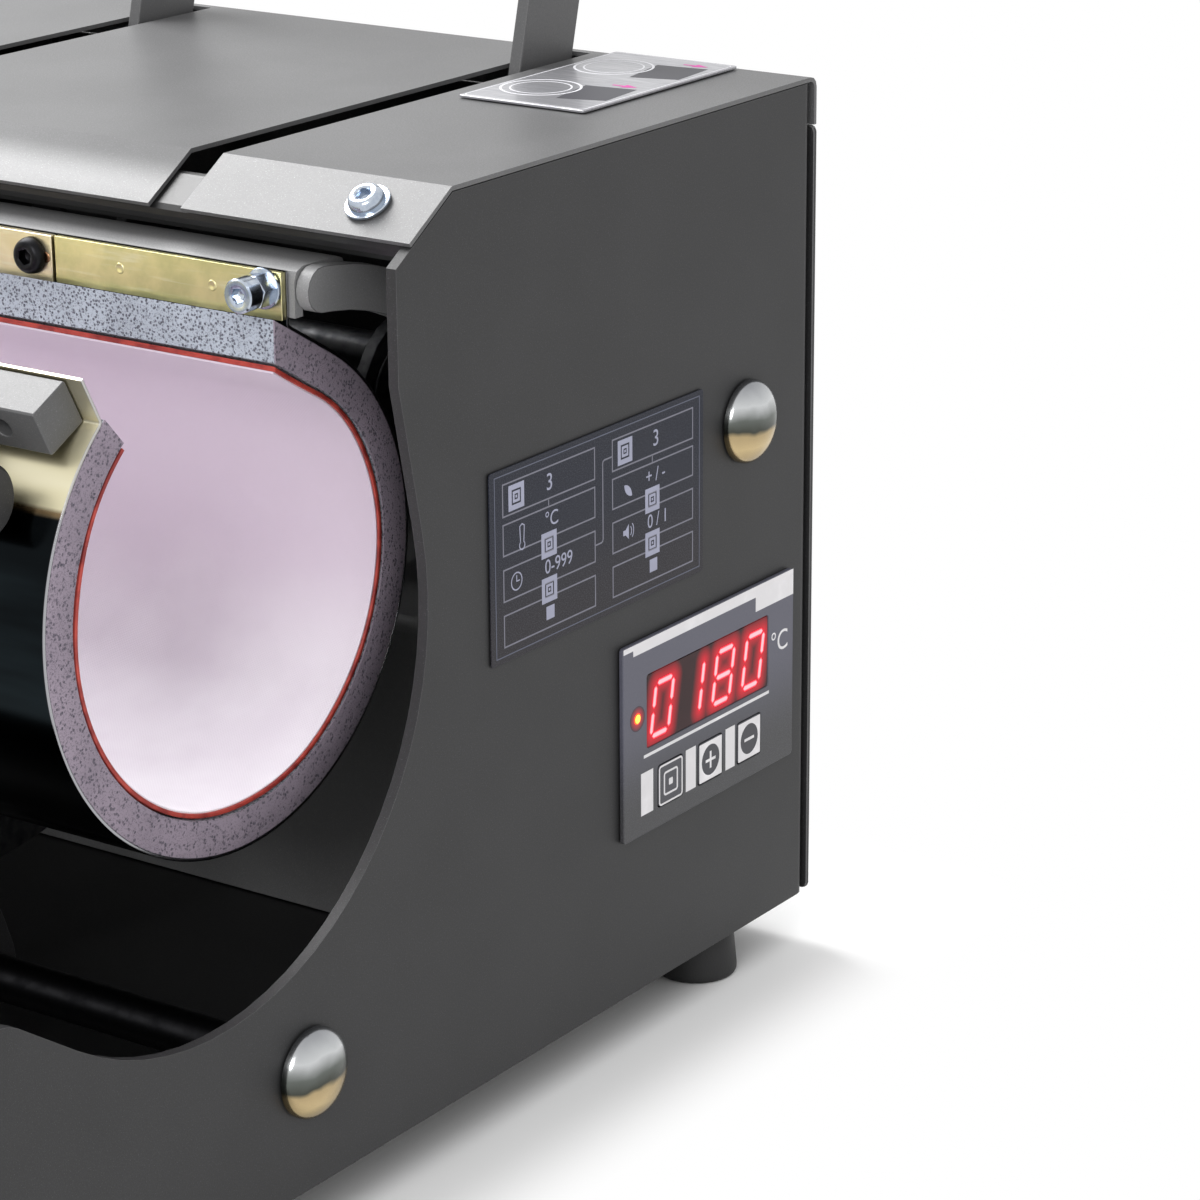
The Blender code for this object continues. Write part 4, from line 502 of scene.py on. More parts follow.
def plain_mesh(piece):
    """The piece's mesh with its modifiers worked in."""
    bpy.context.view_layer.update()
    graph = bpy.context.evaluated_depsgraph_get()
    mesh = bpy.data.meshes.new_from_object(piece.evaluated_get(graph), depsgraph=graph)
    piece.modifiers.clear()
    return mesh


def smooth_below(mesh, angle_deg):
    """Shade smooth, except over edges sharper than an angle."""
    mesh.polygons.foreach_set("use_smooth", [True] * len(mesh.polygons))
    mesh.set_sharp_from_angle(angle=radians(angle_deg))


def stand_in(piece, *nodes):
    """The piece replaces these solids and rides on their body."""
    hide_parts(*nodes)
    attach(piece, body_of[nodes[0]])
    return piece


def both(node):
    """The right and the left node of a pair."""
    return ["right_" + node, "left_" + node]


def softened(node, material, width, edge=None, reshape=None):
    """A copy of a solid with its edges bevelled, after a change to its corners if one is given."""
    mesh = frame["nodes"][node].data.copy()
    shape = bmesh.new()
    shape.from_mesh(mesh)
    bmesh.ops.remove_doubles(shape, verts=shape.verts, dist=MERGE_WITHIN)
    bmesh.ops.dissolve_limit(
        shape,
        angle_limit=radians(FLAT_WITHIN_DEG),
        use_dissolve_boundaries=False,
        verts=shape.verts,
        edges=shape.edges,
    )
    for corner in shape.verts if reshape else ():
        corner.co = reshape(corner.co)
    shape.to_mesh(mesh)
    shape.free()
    piece = as_object("soft_" + node, mesh, material, *([edge] if edge else []))
    for polygon in mesh.polygons:
        polygon.material_index = 0
    smooth_below(mesh, EDGE_DEG)
    bevel = piece.modifiers.new("edges", "BEVEL")
    bevel.width = width
    bevel.segments = 2
    bevel.limit_method = "ANGLE"
    bevel.angle_limit = radians(EDGE_DEG)
    bevel.material = 1 if edge else -1
    weighted = piece.modifiers.new("flat_faces_stay_flat", "WEIGHTED_NORMAL")
    weighted.keep_sharp = True
    piece.data = plain_mesh(piece)
    stand_in(piece, node)


for nodes, material, width in (
    (both("side_plate"), coat, 0.0005),
    (["crossbar"], pale_coat_painted_light, 0.0004),
    (both("crossbar_arm"), pale_coat_painted_light, 0.0006),
    (both("front_arm"), coat, 0.0008),
    (both("handle_arm"), arm_coat_painted_light, 0.0004),
    (both("bar_lug"), arm_coat_painted_light, 0.0005),
    (["clamp_bar"], arm_coat_painted_light, 0.0003),
    (["inner_bulkhead"], pale_coat_painted_light, 0.0002),
    (["rear_panel"], coat, 0.0003),
    (["top_cover"], cover_coat_painted_light, 0.0003),
):
    for node in nodes:
        softened(node, material, width, edge_coat)
# The inner beam and the pan take the near-black copy of the coat, which is painted shade.
for node in ("front_inner_beam", "bottom_pan"):
    softened(node, inner_coat_painted_shade, 0.0003)

# %% [markdown]
# ## Small solids that only need their edges and a finish
#
# The strips, keys, labels and the inlet have the right shape already. They get the same softening with their own
# finishes. The pull links pass close under the band, and when the jaw closes the strap would graze them, so the
# links' upper edges are eased off by up to two millimetres first.

# %% Soften the small solids
small_solids = (
    (both("clamp_strip"), zinc, 0.0002),
    (["centre_clamp_plate"], cream, 0.0002),
    (both("eccentric"), shaft_steel, 0.0004),
    (["controller_panel"], slate, 0.00025),
    (["controller_module"], black_plastic, 0.0006),
    (["set_button", "plus_button", "minus_button"], key_foil, 0.0003),
    (["side_label"], navy, 0.00012),
    (["top_label"], silver, 0.0002),
    (["power_inlet"], black_plastic, 0.0005),
    (["power_rocker"], rocker_plastic, 0.0005),
)
for nodes, material, width in small_solids:
    for node in nodes:
        softened(node, material, width)

# With the jaw closed, the band's middle lies here as seen from the link, and the link stays this far from it.
BAND_FROM_LINK = Vector((-0.0676, 0.1610))
LINK_CLEAR_OF = 0.0715
LINK_FRONT = -0.045


def eased_off(place):
    """A corner of a pull link, moved out of the closed band's way."""
    away = Vector((place.y, place.z)) - BAND_FROM_LINK
    if place.y < LINK_FRONT and away.length < LINK_CLEAR_OF:
        away = away.normalized() * LINK_CLEAR_OF
    return Vector((place.x, *(BAND_FROM_LINK + away)))


for node in both("pull_link"):
    softened(node, shaft_steel, 0.0005, reshape=eased_off)

# %% [markdown]
# ## The heater band
#
# The band is the heart of the press: a straight entry under the upper jaw, a shoulder a little tighter than the
# loop, and a loop that stays open towards the front. Its layers share one line, each at its own depth, so a node
# tree makes them: it sweeps a rectangle along the line, and stores how far along and across the band each corner
# lies as a UV map. Bending a flat slab with modifiers would stretch it, and modelling each layer by hand would
# let them drift apart.

# %% The band's line
LOOP_CENTRE = Vector((-0.058655, 0.163))
LOOP_RADIUS = 0.0695
SHOULDER_DEG = -5
SHOULDER_RADIUS = 0.0594
ENTRY_SLOPE_DEG = 31
FRONT_END_DEG = -229.5
LINE_STEP = 0.001


def round_point(middle, radius, turn_deg):
    """A (y, z) place on a circle, with 0 to the rear and 90 up."""
    return middle + radius * Vector((cos(radians(turn_deg)), sin(radians(turn_deg))))


def round_points(middle, radius, start_deg, end_deg):
    """Evenly spaced places along an arc."""
    steps = max(2, round(abs(radians(end_deg - start_deg)) * radius / LINE_STEP))
    return [round_point(middle, radius, start_deg + (end_deg - start_deg) * i / steps) for i in range(steps + 1)]


def band_line(depth, end_deg=FRONT_END_DEG):
    """The loop at a depth inside its outer face, from the entry's end to the front."""
    shoulder = round_point(LOOP_CENTRE, LOOP_RADIUS - SHOULDER_RADIUS, SHOULDER_DEG)
    line = round_points(shoulder, SHOULDER_RADIUS - depth, 90 - ENTRY_SLOPE_DEG, SHOULDER_DEG)
    return line + round_points(LOOP_CENTRE, LOOP_RADIUS - depth, SHOULDER_DEG, end_deg)[1:]


def entry_point(depth, y):
    """Where the straight entry passes a place in y."""
    start = band_line(depth)[0]
    return Vector((y, start.y + (start.x - y) * tan(radians(ENTRY_SLOPE_DEG))))


print("line of the outer face:", len(band_line(0)), "places")

# %% [markdown]
# ## A node tree for a layer
#
# A Geometry Nodes tree is a small program. This one takes the line as a chain of edges and turns it into a curve,
# captures the distance along it, sweeps a rectangle with eased corners, and writes the UV map. The tree's sizes
# are named inputs, so the sponge, the heater and the cloth differ only in their numbers.

# %% The layer tree
def tree_with(name, **inputs):
    """An empty node tree with a geometry input and output and these further inputs."""
    tree = bpy.data.node_groups.new(name, "GeometryNodeTree")
    tree.interface.new_socket("Geometry", in_out="INPUT", socket_type="NodeSocketGeometry")
    for label, kind in inputs.items():
        tree.interface.new_socket(label.replace("_", " "), in_out="INPUT", socket_type="NodeSocket" + kind)
    tree.interface.new_socket("Geometry", in_out="OUTPUT", socket_type="NodeSocketGeometry")
    return tree


class Stitcher:
    """Adds nodes to a geometry tree and links them as it goes."""

    def __init__(self, tree):
        self.tree = tree
        self.start = tree.nodes.new("NodeGroupInput")

    def given(self, label):
        """One of the tree's own inputs."""
        return self.start.outputs[label]

    def node(self, kind, settings=None, sockets=None):
        """Add a node: its settings first, then its sockets by name or number."""
        made = self.tree.nodes.new(kind)
        for name, value in (settings or {}).items():
            setattr(made, name, value)
        for name, value in (sockets or {}).items():
            if isinstance(value, bpy.types.NodeSocket):
                self.tree.links.new(value, made.inputs[name])
            else:
                made.inputs[name].default_value = value
        return made

    def finish(self, geometry):
        """Link the result to the tree's output."""
        end = self.tree.nodes.new("NodeGroupOutput")
        self.tree.links.new(geometry, end.inputs[0])


def grown(name, mesh, tree, **values):
    """Run a tree on a mesh with its inputs set, and give the result as a plain mesh."""
    carrier = as_object(name, mesh)
    modifier = carrier.modifiers.new("grow", "NODES")
    modifier.node_group = tree
    for item in tree.interface.items_tree:
        label = item.name.replace(" ", "_")
        if item.item_type == "SOCKET" and item.in_out == "INPUT" and label in values:
            modifier[item.identifier] = values[label]
    result = plain_mesh(carrier)
    bpy.data.objects.remove(carrier)
    return result


def layer_tree():
    """Sweep a rectangle with eased corners along a chain of edges."""
    tree = tree_with("band_layer", Width="Float", Thickness="Float", Ease="Float", Material="Material")
    pen = Stitcher(tree)
    line = pen.node("GeometryNodeMeshToCurve", {}, {0: pen.given("Geometry")})
    length = pen.node("GeometryNodeSplineParameter")
    along = pen.node("GeometryNodeCaptureAttribute", {"domain": "POINT"}, {0: line.outputs[0]})
    along.capture_items.new("FLOAT", "along")
    tree.links.new(length.outputs["Length"], along.inputs[1])
    shape = {"Width": pen.given("Width"), "Height": pen.given("Thickness")}
    box = pen.node("GeometryNodeCurvePrimitiveQuadrilateral", {"mode": "RECTANGLE"}, shape)
    eased = pen.node("GeometryNodeFilletCurve", {"mode": "POLY"}, {0: box.outputs[0], "Count": 2})
    tree.links.new(pen.given("Ease"), eased.inputs["Radius"])
    place = pen.node("GeometryNodeInputPosition")
    split = pen.node("ShaderNodeSeparateXYZ", {}, {0: place.outputs[0]})
    across = pen.node("GeometryNodeCaptureAttribute", {"domain": "POINT"}, {0: eased.outputs[0]})
    across.capture_items.new("FLOAT", "across")
    tree.links.new(split.outputs[0], across.inputs[1])
    sweep = pen.node("GeometryNodeCurveToMesh", {}, {0: along.outputs[0], 1: across.outputs[0]})
    sweep.inputs["Fill Caps"].default_value = True
    spot = pen.node("ShaderNodeCombineXYZ", {}, {0: along.outputs[1], 1: across.outputs[1]})
    stored = pen.node(
        "GeometryNodeStoreNamedAttribute",
        {"data_type": "FLOAT2", "domain": "CORNER"},
        {0: sweep.outputs[0], "Name": "UVMap", "Value": spot.outputs[0]},
    )
    whole = pen.node("GeometryNodeRealizeInstances", {}, {0: stored.outputs[0]})
    dyed = pen.node("GeometryNodeSetMaterial", {}, {0: whole.outputs[0], "Material": pen.given("Material")})
    pen.finish(dyed.outputs[0])
    return tree


band_layer = layer_tree()
print("tree:", band_layer.name, len(band_layer.nodes), "nodes")

# %% [markdown]
# ## Turned hardware
#
# The domed caps, the screws, the grip, the cross tube and the feet are all turned forms: an outline spun about an
# axis. They could be spun one by one in place, but a cap that is used four times is better spun once, about Z, and
# then set down. `spun` takes the outline as radius and height pairs. A third number of 1 in a pair makes that
# ring a hexagon, which gives nuts their flats and sockets their key hole.

# %% Spin an outline
SPIN_STEPS = 60


def mesh_from(shape, name):
    """The bmesh as a new mesh."""
    mesh = bpy.data.meshes.new(name)
    shape.to_mesh(mesh)
    shape.free()
    return mesh


def spun(name, outline, crease_deg):
    """A mesh spun about Z from (radius, height) pairs."""
    shape = bmesh.new()
    rings = []
    for radius, height, *six in outline:
        ring = []
        for step in range(SPIN_STEPS if radius else 1):
            turn = 2 * pi * step / SPIN_STEPS
            reach = radius * cos(pi / 6) / cos(turn % (pi / 3) - pi / 6) if six else radius
            ring.append(shape.verts.new((reach * cos(turn), reach * sin(turn), height)))
        rings.append(ring)
    for low, high in zip(rings, rings[1:]):
        for step in range(SPIN_STEPS):
            after = (step + 1) % SPIN_STEPS
            places = [low[step % len(low)], low[after % len(low)], high[after % len(high)], high[step % len(high)]]
            shape.faces.new(list(dict.fromkeys(places)))
    bmesh.ops.recalc_face_normals(shape, faces=shape.faces)
    mesh = mesh_from(shape, name)
    smooth_below(mesh, crease_deg)
    return mesh


def dome(radius, low, high, crown=0.0, steps=10):
    """Pairs of a quarter ellipse from its rim in to its crown, which may be flat."""
    turns = [pi / 2 * step / steps for step in range(steps + 1)]
    return [(crown + (radius - crown) * cos(turn), low + (high - low) * sin(turn)) for turn in turns]


def socket_in(crown, radius=0.0022, depth=0.002, ease=0.0003):
    """Pairs of a hexagon socket sunk in a crown, with an eased mouth and a drilled floor."""
    return [
        (radius + 2 * ease, crown), (radius + ease, crown - 0.2 * ease), (radius, crown - ease, 1),
        (radius, crown - depth, 1), (0.6 * radius, crown - depth), (0, crown - depth - 0.4 * radius),
    ]


def eased_rim(radius, low, high, ease=0.0002):
    """Pairs of an upright wall whose two edges are broken."""
    return [(radius - ease, low), (radius, low + ease), (radius, high - ease), (radius - ease, high)]


button_head = dome(0.0048, 0, 0.0028, 0.003) + socket_in(0.0028)
flanged_head = eased_rim(0.006, 0, 0.001) + [(r, h + 0.001) for r, h, *_ in dome(0.0048, 0, 0.0028, 0.003)]
flanged_head += socket_in(0.0038)
stacked_head = eased_rim(0.0052, 0, 0.001) + [(0.00455, 0.0011, 1), (0.0046, 0.0014, 1), (0.0046, 0.0052, 1)]
stacked_head += [(0.00435, 0.0055, 1)] + eased_rim(0.00435, 0.0055, 0.0105, 0.0004) + socket_in(0.0105)
cap_dome = [(0.01135, 0), (0.01175, 0.0003), (0.01175, 0.001)] + dome(0.01175, 0.001, 0.0065, 0, 14)[1:]
print("outline of a cap:", len(cap_dome), "pairs")

# %% [markdown]
# ## Setting the hardware down
#
# Each spun form is now instanced on points by a node tree. A point carries two attributes: the way its form
# faces, and how far it is turned about that way, because no fitter stops every hexagon at the same angle. The
# tree realizes the instances and gives them their finish, and one mesh per body and finish comes out.

# %% The placing tree
def placing_tree():
    """Instance a form on points that carry a way and a turn."""
    tree = tree_with("set_hardware", Form="Object", Material="Material")
    pen = Stitcher(tree)
    form = pen.node("GeometryNodeObjectInfo", {}, {"Object": pen.given("Form"), "As Instance": True})
    way, turn = [
        pen.node("GeometryNodeInputNamedAttribute", {"data_type": kind}, {"Name": name})
        for name, kind in (("way", "FLOAT_VECTOR"), ("turn", "FLOAT"))
    ]
    facing = pen.node("FunctionNodeAlignRotationToVector", {"axis": "Z"}, {"Vector": way.outputs[0]})
    spin = pen.node("FunctionNodeAxisAngleToRotation", {}, {"Axis": (0, 0, 1), "Angle": turn.outputs[0]})
    turns = {0: facing.outputs[0], 1: spin.outputs[0]}
    rotation = pen.node("FunctionNodeRotateRotation", {"rotation_space": "LOCAL"}, turns)
    sockets = {"Instance": form.outputs["Geometry"], "Rotation": rotation.outputs[0]}
    copies = pen.node("GeometryNodeInstanceOnPoints", {}, {"Points": pen.given("Geometry")} | sockets)
    whole = pen.node("GeometryNodeRealizeInstances", {}, {0: copies.outputs[0]})
    dyed = pen.node("GeometryNodeSetMaterial", {}, {0: whole.outputs[0], "Material": pen.given("Material")})
    pen.finish(dyed.outputs[0])
    return tree


def set_down(name, outline, spots, material, nodes, crease_deg=28):
    """Spin an outline once, set it down at (place in mm, way, turn in degrees) spots and let it replace nodes."""
    form = as_object(name + "_form", spun(name + "_form", outline, crease_deg), material)
    points = bpy.data.meshes.new(name + "_points")
    points.from_pydata([[v / 1000 for v in place] for place, _, _ in spots], [], [])
    points.attributes.new("way", "FLOAT_VECTOR", "POINT")
    points.attributes.new("turn", "FLOAT", "POINT")
    for index, (_, way, turn_deg) in enumerate(spots):
        points.attributes["way"].data[index].vector = way
        points.attributes["turn"].data[index].value = radians(turn_deg)
    mesh = grown(name, points, hardware_tree, Form=form, Material=material)
    bpy.data.objects.remove(form)
    piece = as_object(name, mesh, material)
    return stand_in(piece, *nodes) if nodes else piece


def on_both_sides(place, way, turn_deg=0):
    """A spot on the right and its mirror image on the left, which stops at another angle."""
    x, y, z = place
    a, b, c = way
    return [((x, y, z), (a, b, c), turn_deg), ((-x, y, z), (-a, b, c), turn_deg + 37)]


hardware_tree = placing_tree()
print("tree:", hardware_tree.name, len(hardware_tree.nodes), "nodes")

# %% [markdown]
# ## Caps and screws in place
#
# The seats and ways are the CAD model's: the cover screws stand square on the sloped lip, the strap screws face
# forward, the clamp bolts face up and back through the clamp bar. Seats are in millimetres. The domed caps
# mirror a dark horizon, which one white studio can't give them, so their finish carries a painted reflection:
# a dark belt, a warm lower half and a pale highlight band.

# %% Caps and screws
LIP_WAY, BAR_WAY = (0, -0.53262, 0.84635), (0, 0.89101, 0.45399)
TO_THE_RIGHT, TO_THE_FRONT = (1, 0, 0), (0, -1, 0)
for name, outline, seat, way, turn_deg, material in (
    ("cover_screw", flanged_head, (128, -20.354, 252.464), LIP_WAY, 12, screw_steel),
    ("strap_screw", stacked_head, (109, -37.955, 232.5), TO_THE_FRONT, 8, screw_steel),
    ("plate_screw", button_head, (33, -38.555, 231), TO_THE_FRONT, 20, blackened),
    ("clamp_bolt", button_head, (96.5, -106.85, 220.778), BAR_WAY, 5, chrome),
    ("grip_screw", flanged_head, (72.3, 182.655, 446), TO_THE_RIGHT, 15, screw_steel),
):
    set_down(name + "s", outline, on_both_sides(seat, way, turn_deg), material, both(name))


def rise_on(piece, middle, radius):
    """Tell every corner how high on its cap it lies, from -1 to 1."""
    rise = piece.data.attributes.new("rise", "FLOAT", "POINT")
    rise.data.foreach_set("value", [(corner.co.z - middle) / radius for corner in piece.data.vertices])


def cap_chrome(name):
    """Chrome with a painted reflection: a dark belt, a warm lower half and a pale highlight band above the belt.
    """
    material, shader, pen = new_finish(name, Metallic=1.0)
    # Painted reflection by height on the cap: warm floor below, a dark horizon belt, a pale highlight above.
    ramp = [(0.0, tone(146, 130, 102)), (0.24, tone(204, 182, 138)), (0.4, tone(180, 160, 122))]
    ramp += [(0.46, tone(74, 76, 70)), (0.58, tone(104, 108, 104)), (0.74, tone(202, 204, 205))]
    ramp += [(1.0, tone(142, 144, 148))]
    bent = stored(pen, "rise") * 0.5 + 0.5 + (grain(pen, 0.009, 2) - 0.5) * 0.16
    colour = pen.node("ShaderNodeValToRGB", {"stops": ramp}, {0: bent})
    fine = grain(pen, 0.0004, 1)
    wire(shader, Base_Color=colour, Roughness=0.14 + fine * 0.08, Normal=relief(pen, fine, 0.000004))
    return material


chrome_with_painted_reflection = cap_chrome("cap_chrome")
for name, seat in (("front_cap", (147.3, -76.855, 47.8)), ("rear_cap", (147.3, 120.945, 167.3))):
    caps = set_down(name + "s", cap_dome, on_both_sides(seat, TO_THE_RIGHT), chrome_with_painted_reflection, both(name), 40)
    rise_on(caps, seat[2] / 1000, 0.012)
punched = [(0, 0.00004), (0.0006, 0.00004), (0.00095, 0.00016), (0.00125, 0.00014), (0.00145, -0.00005)]
eyelet = [(0, -0.00002), (0.0008, -0.00002), (0.0009, 0.00018), (0.0012, 0.00016), (0.00145, -0.00005)]
for name, outline, seats, material, slot in (
    ("strip_dimples", punched, ((62, -37.7, 231.2), (92, -37.7, 230.8)), zinc, "zinc"),
    ("plate_eyelets", eyelet, ((37.7, -38.3, 231),), brown_rivet, "cream"),
):
    spots = [spot for seat in seats for spot in on_both_sides(seat, TO_THE_FRONT)]
    marks = set_down(name, outline, spots, material, [])
    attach(marks, "housing")
print("caps and screws:", 14)

# %% [markdown]
# ## Grip, cross tube and feet
#
# The grip is a rubber sleeve with three shallow grooves in a finer outline than the CAD model's, and its ends
# neck down towards the arms. The cross tube joins the tips of the jaw's arms, and each foot is a cone of rubber
# with a rounded foot edge and a screw recess underneath.

# %% Grip, cross tube and feet
def grip_outline(half=0.0677, neck=0.0115, radius=0.014, shoulder=0.006, grooves=3, steps=96):
    """A sleeve's outline from end to end, with shallow grooves between its lands."""
    run = half - shoulder
    end = [(0, half - 0.002), (0.004, half - 0.002), (0.0044, half), (neck - 0.0006, half), (neck, half - 0.0006)]
    sleeve = []
    for step in range(steps + 1):
        groove = min(1.0, max(0.0, -3 * sin(pi * (2 * grooves + 1) * step / steps)))
        sleeve.append((radius - 0.0006 * groove, run * (1 - 2 * step / steps)))
    return end + sleeve + [(r, -h) for r, h in reversed(end)]


def capped_rod(radius, half):
    """A rod along Z with chamfered ends."""
    return [(0, -half)] + eased_rim(radius, -half, half, 0.0008) + [(0, half)]


foot_outline = [(0, 0.0182), (0.0101, 0.0182), (0.0105, 0.0178), (0.01195, 0.0022), (0.0119, 0.0012)]
foot_outline += [(0.0115, 0.0004), (0.0107, 0), (0.0045, 0), (0.004, 0.0005), (0.004, 0.006), (0, 0.006)]
foot_spots = [((x, y, 0), (0, 0, 1), 0) for x in (132, -132) for y in (119.345, -162.655)]
for name, outline, seat, material, node, crease_deg in (
    ("grip_sleeve", grip_outline(), (0, 182.655, 446), grip_rubber, "handle_grip", 40),
    ("cross_tube", capped_rod(0.009, 0.104), (0, -132.668, 201.005), coat, "front_cross_tube", 28),
    ("axle_rod", capped_rod(0.006, 0.1467), (0, -76.855, 47.8), blackened, "front_axle", 28),
    ("shaft_rod", capped_rod(0.007, 0.1467), (0, 120.945, 167.3), shaft_steel, "rear_shaft", 28),
):
    set_down(name, outline, [(seat, TO_THE_RIGHT, 0)], material, [node], crease_deg)
feet = [f"{side}_{end}_foot" for side in ("right", "left") for end in ("rear", "front")]
set_down("feet", foot_outline, foot_spots, rubber, feet, 40)
print("turned pieces set down")

# %% [markdown]
# ## Sponge, heater and cloth
#
# The sponge and the heater end in an upright cut at the top, so their line runs on a little and a plane trims
# it. The heater isn't glued tight all the way: here and there it stands a hair's breadth off the sponge, which
# is what gives the thin dark shadow beside the red line. A slow wave in the depth does that.
#
# The band crosses the front jaw's hinge: its rear half is held by the housing and its front end by the jaw.

# %% Make the band
ENTRY_CUT = -0.040655
SPARE_RUN, RUN_STEP, RUN_STEPS = 0.012, 0.004, 8
UPPER_END_Y, UPPER_END_Z = -0.075, 0.2
BAND_CREASE_DEG = 40


def chain(places):
    """A mesh that is a chain of edges through (y, z) places."""
    mesh = bpy.data.meshes.new("chain")
    mesh.from_pydata([(0, y, z) for y, z in places], [(i, i + 1) for i in range(len(places) - 1)], [])
    return mesh


def swept(name, places, half_width, thickness, ease, material):
    """The mesh of a layer whose middle line runs through these places."""
    sizes = {"Width": 2 * half_width, "Thickness": thickness, "Ease": ease, "Material": material}
    return grown(name, chain(places), band_layer, **sizes)


def trimmed(mesh, y):
    """Cut the band's upper end upright at a place in y and close the cut."""
    shape = bmesh.new()
    shape.from_mesh(mesh)
    upper = [v for v in shape.verts if v.co.y > UPPER_END_Y and v.co.z > UPPER_END_Z]
    faces = {face for vert in upper for face in vert.link_faces}
    edges = {edge for face in faces for edge in face.edges}
    verts = {vert for face in faces for vert in face.verts}
    cut = bmesh.ops.bisect_plane(
        shape, geom=[*verts, *edges, *faces], plane_co=(0, y, 0), plane_no=(0, -1, 0), clear_outer=True
    )
    rim = [part for part in cut["geom_cut"] if isinstance(part, bmesh.types.BMEdge)]
    bmesh.ops.edgeloop_fill(shape, edges=rim)
    bmesh.ops.recalc_face_normals(shape, faces=shape.faces)
    shape.to_mesh(mesh)
    shape.free()
    return mesh


def layer(name, start, end, half_width, ease, material, lift=0.0, back=0.0):
    """One layer of the band between two depths, with its wave and its distance back from the front end."""
    middle = (start + end) / 2
    line = band_line(middle)
    line = line[: len(line) - round(back / LINE_STEP)]
    run_in = [ENTRY_CUT - SPARE_RUN] + [ENTRY_CUT + k * RUN_STEP for k in range(RUN_STEPS)]
    line = [entry_point(middle, y) for y in run_in if y < line[0].x - RUN_STEP / 2] + line
    wavy = []
    for place in line:
        out = place - LOOP_CENTRE
        turn = atan2(out.y, out.x)
        wave = lift * (0.5 - 0.5 * cos(3 * turn + 0.9)) * (0.6 + 0.4 * sin(7 * turn))
        wavy.append(place - out.normalized() * wave)
    mesh = trimmed(swept(name, wavy, half_width, end - start, ease, material), ENTRY_CUT)
    smooth_below(mesh, BAND_CREASE_DEG)
    return as_object(name, mesh, material)


band_layers = {
    "band_sponge": layer("band_sponge", 0.00085, 0.0102, BAND_HALF, 0.0002, foam),
    "band_heater": layer("band_heater", 0.0107, 0.01185, BAND_HALF - 0.0002, 0.0003, heater_rubber, 0.0005, 0.001),
    "band_cloth": layer("band_cloth", 0.0118, 0.0123, BAND_HALF - 0.0009, 0.0001, cloth, 0.0005, 0.002),
}
for name, piece in band_layers.items():
    print(name, len(piece.data.polygons), "faces")

# %% [markdown]
# ## The strap
#
# The strap is one strip of spring steel. Its upper end turns up behind the clamp strips and its lower end turns
# out behind the clamp bar, where the bolts hold it. Its line is the band's outer line with those two flanges
# added, and the same tree sweeps it.

# %% Make the strap
STRAP_THICKNESS = 0.0008
# The length of the strap's front end that carries the pale painted reflection.
PALE_REFLECTION_LENGTH = 0.034
BEND_RADIUS = 0.0012
FLANGE_FACE = -0.034655
CLAMP_BAR_SIDE = 0.0125
CLAMP_BAR_TILT = radians(27)
CLAMP_BAR_MIDDLE = round_point(LOOP_CENTRE, LOOP_RADIUS + 0.0078, 180 - 44.63)
FLANGE_REACH = 0.0068
BEND_ROOM_DEG = 2
GAP = 0.0003


def corner_bend(before, corner, after, radius, steps=6):
    """Places of a rounded corner between two straight runs."""
    back = (before - corner).normalized()
    ahead = (after - corner).normalized()
    half = acos(max(-1, min(1, back.dot(ahead)))) / 2
    middle = corner + (back + ahead).normalized() * radius / sin(half)
    first = corner + back * radius / tan(half) - middle
    last = corner + ahead * radius / tan(half) - middle
    turn = atan2(first.x * last.y - first.y * last.x, first.dot(last))
    return [middle + Matrix.Rotation(turn * k / steps, 2) @ first for k in range(steps + 1)]


def strap_line():
    """The strap's middle line from its upper flange to its lower one."""
    depth = STRAP_THICKNESS / 2
    upright = FLANGE_FACE - GAP - depth
    top = Vector((upright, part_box("right_clamp_strip")[1].z))
    corner = entry_point(depth, upright)
    normal = Vector((-cos(CLAMP_BAR_TILT), -sin(CLAMP_BAR_TILT)))
    rise = Vector((normal.y, -normal.x))
    middle = CLAMP_BAR_MIDDLE - normal * (CLAMP_BAR_SIDE / 2 + GAP + depth)
    offset = middle - LOOP_CENTRE
    radius = LOOP_RADIUS - depth
    down = offset.dot(rise)
    reach = down - (down * down - offset.length_squared + radius * radius) ** 0.5
    bent_at, tip = middle - rise * reach, middle + rise * FLANGE_REACH
    out = bent_at - LOOP_CENTRE
    line = band_line(depth, degrees(atan2(out.y, out.x)) % 360 - 360 + BEND_ROOM_DEG)
    turned_up = corner_bend(top, corner, line[0], BEND_RADIUS)
    turned_out = corner_bend(line[-1], bent_at, tip, BEND_RADIUS)
    return [top] + turned_up + line + turned_out + [tip]


def spring_steel_painted_reflection(name, bright_from):
    """Spring steel with a painted reflection: pale beyond a distance along the strap and blue-black before it."""
    material, shader, pen = new_finish(name, Metallic=1.0)
    along, across = band_place(pen)
    rim = pen.maths("ABSOLUTE", across).between(BAND_HALF - 0.0004, BAND_HALF - 0.0001)
    clouds = grain(pen, 0.014, 3, 0.5, (0.15, 1, 1)).between(0.3, 0.7)
    # Painted reflection: the pale end stands for the mirrored white studio, the blue-black for the dark inside,
    # with a brown line where they meet.
    pale_reflection_share = (along + clouds * 0.003).between(bright_from - 0.0015, bright_from + 0.0015)
    brown = pale_reflection_share * (1 - pale_reflection_share) * 4
    colour = clouds.blend(tone(30, 37, 40), tone(18, 21, 23))
    colour = pale_reflection_share.blend(colour, clouds.blend(tone(238, 232, 208), tone(222, 214, 180)))
    colour = (brown * 0.8).blend(colour, tone(120, 92, 58))
    colour = (rim * 0.8).blend(colour, tone(186, 186, 190))
    wire(shader, Base_Color=colour, Roughness=0.16 + pale_reflection_share * 0.16, Normal=relief(pen, clouds, 0.00001))
    return material


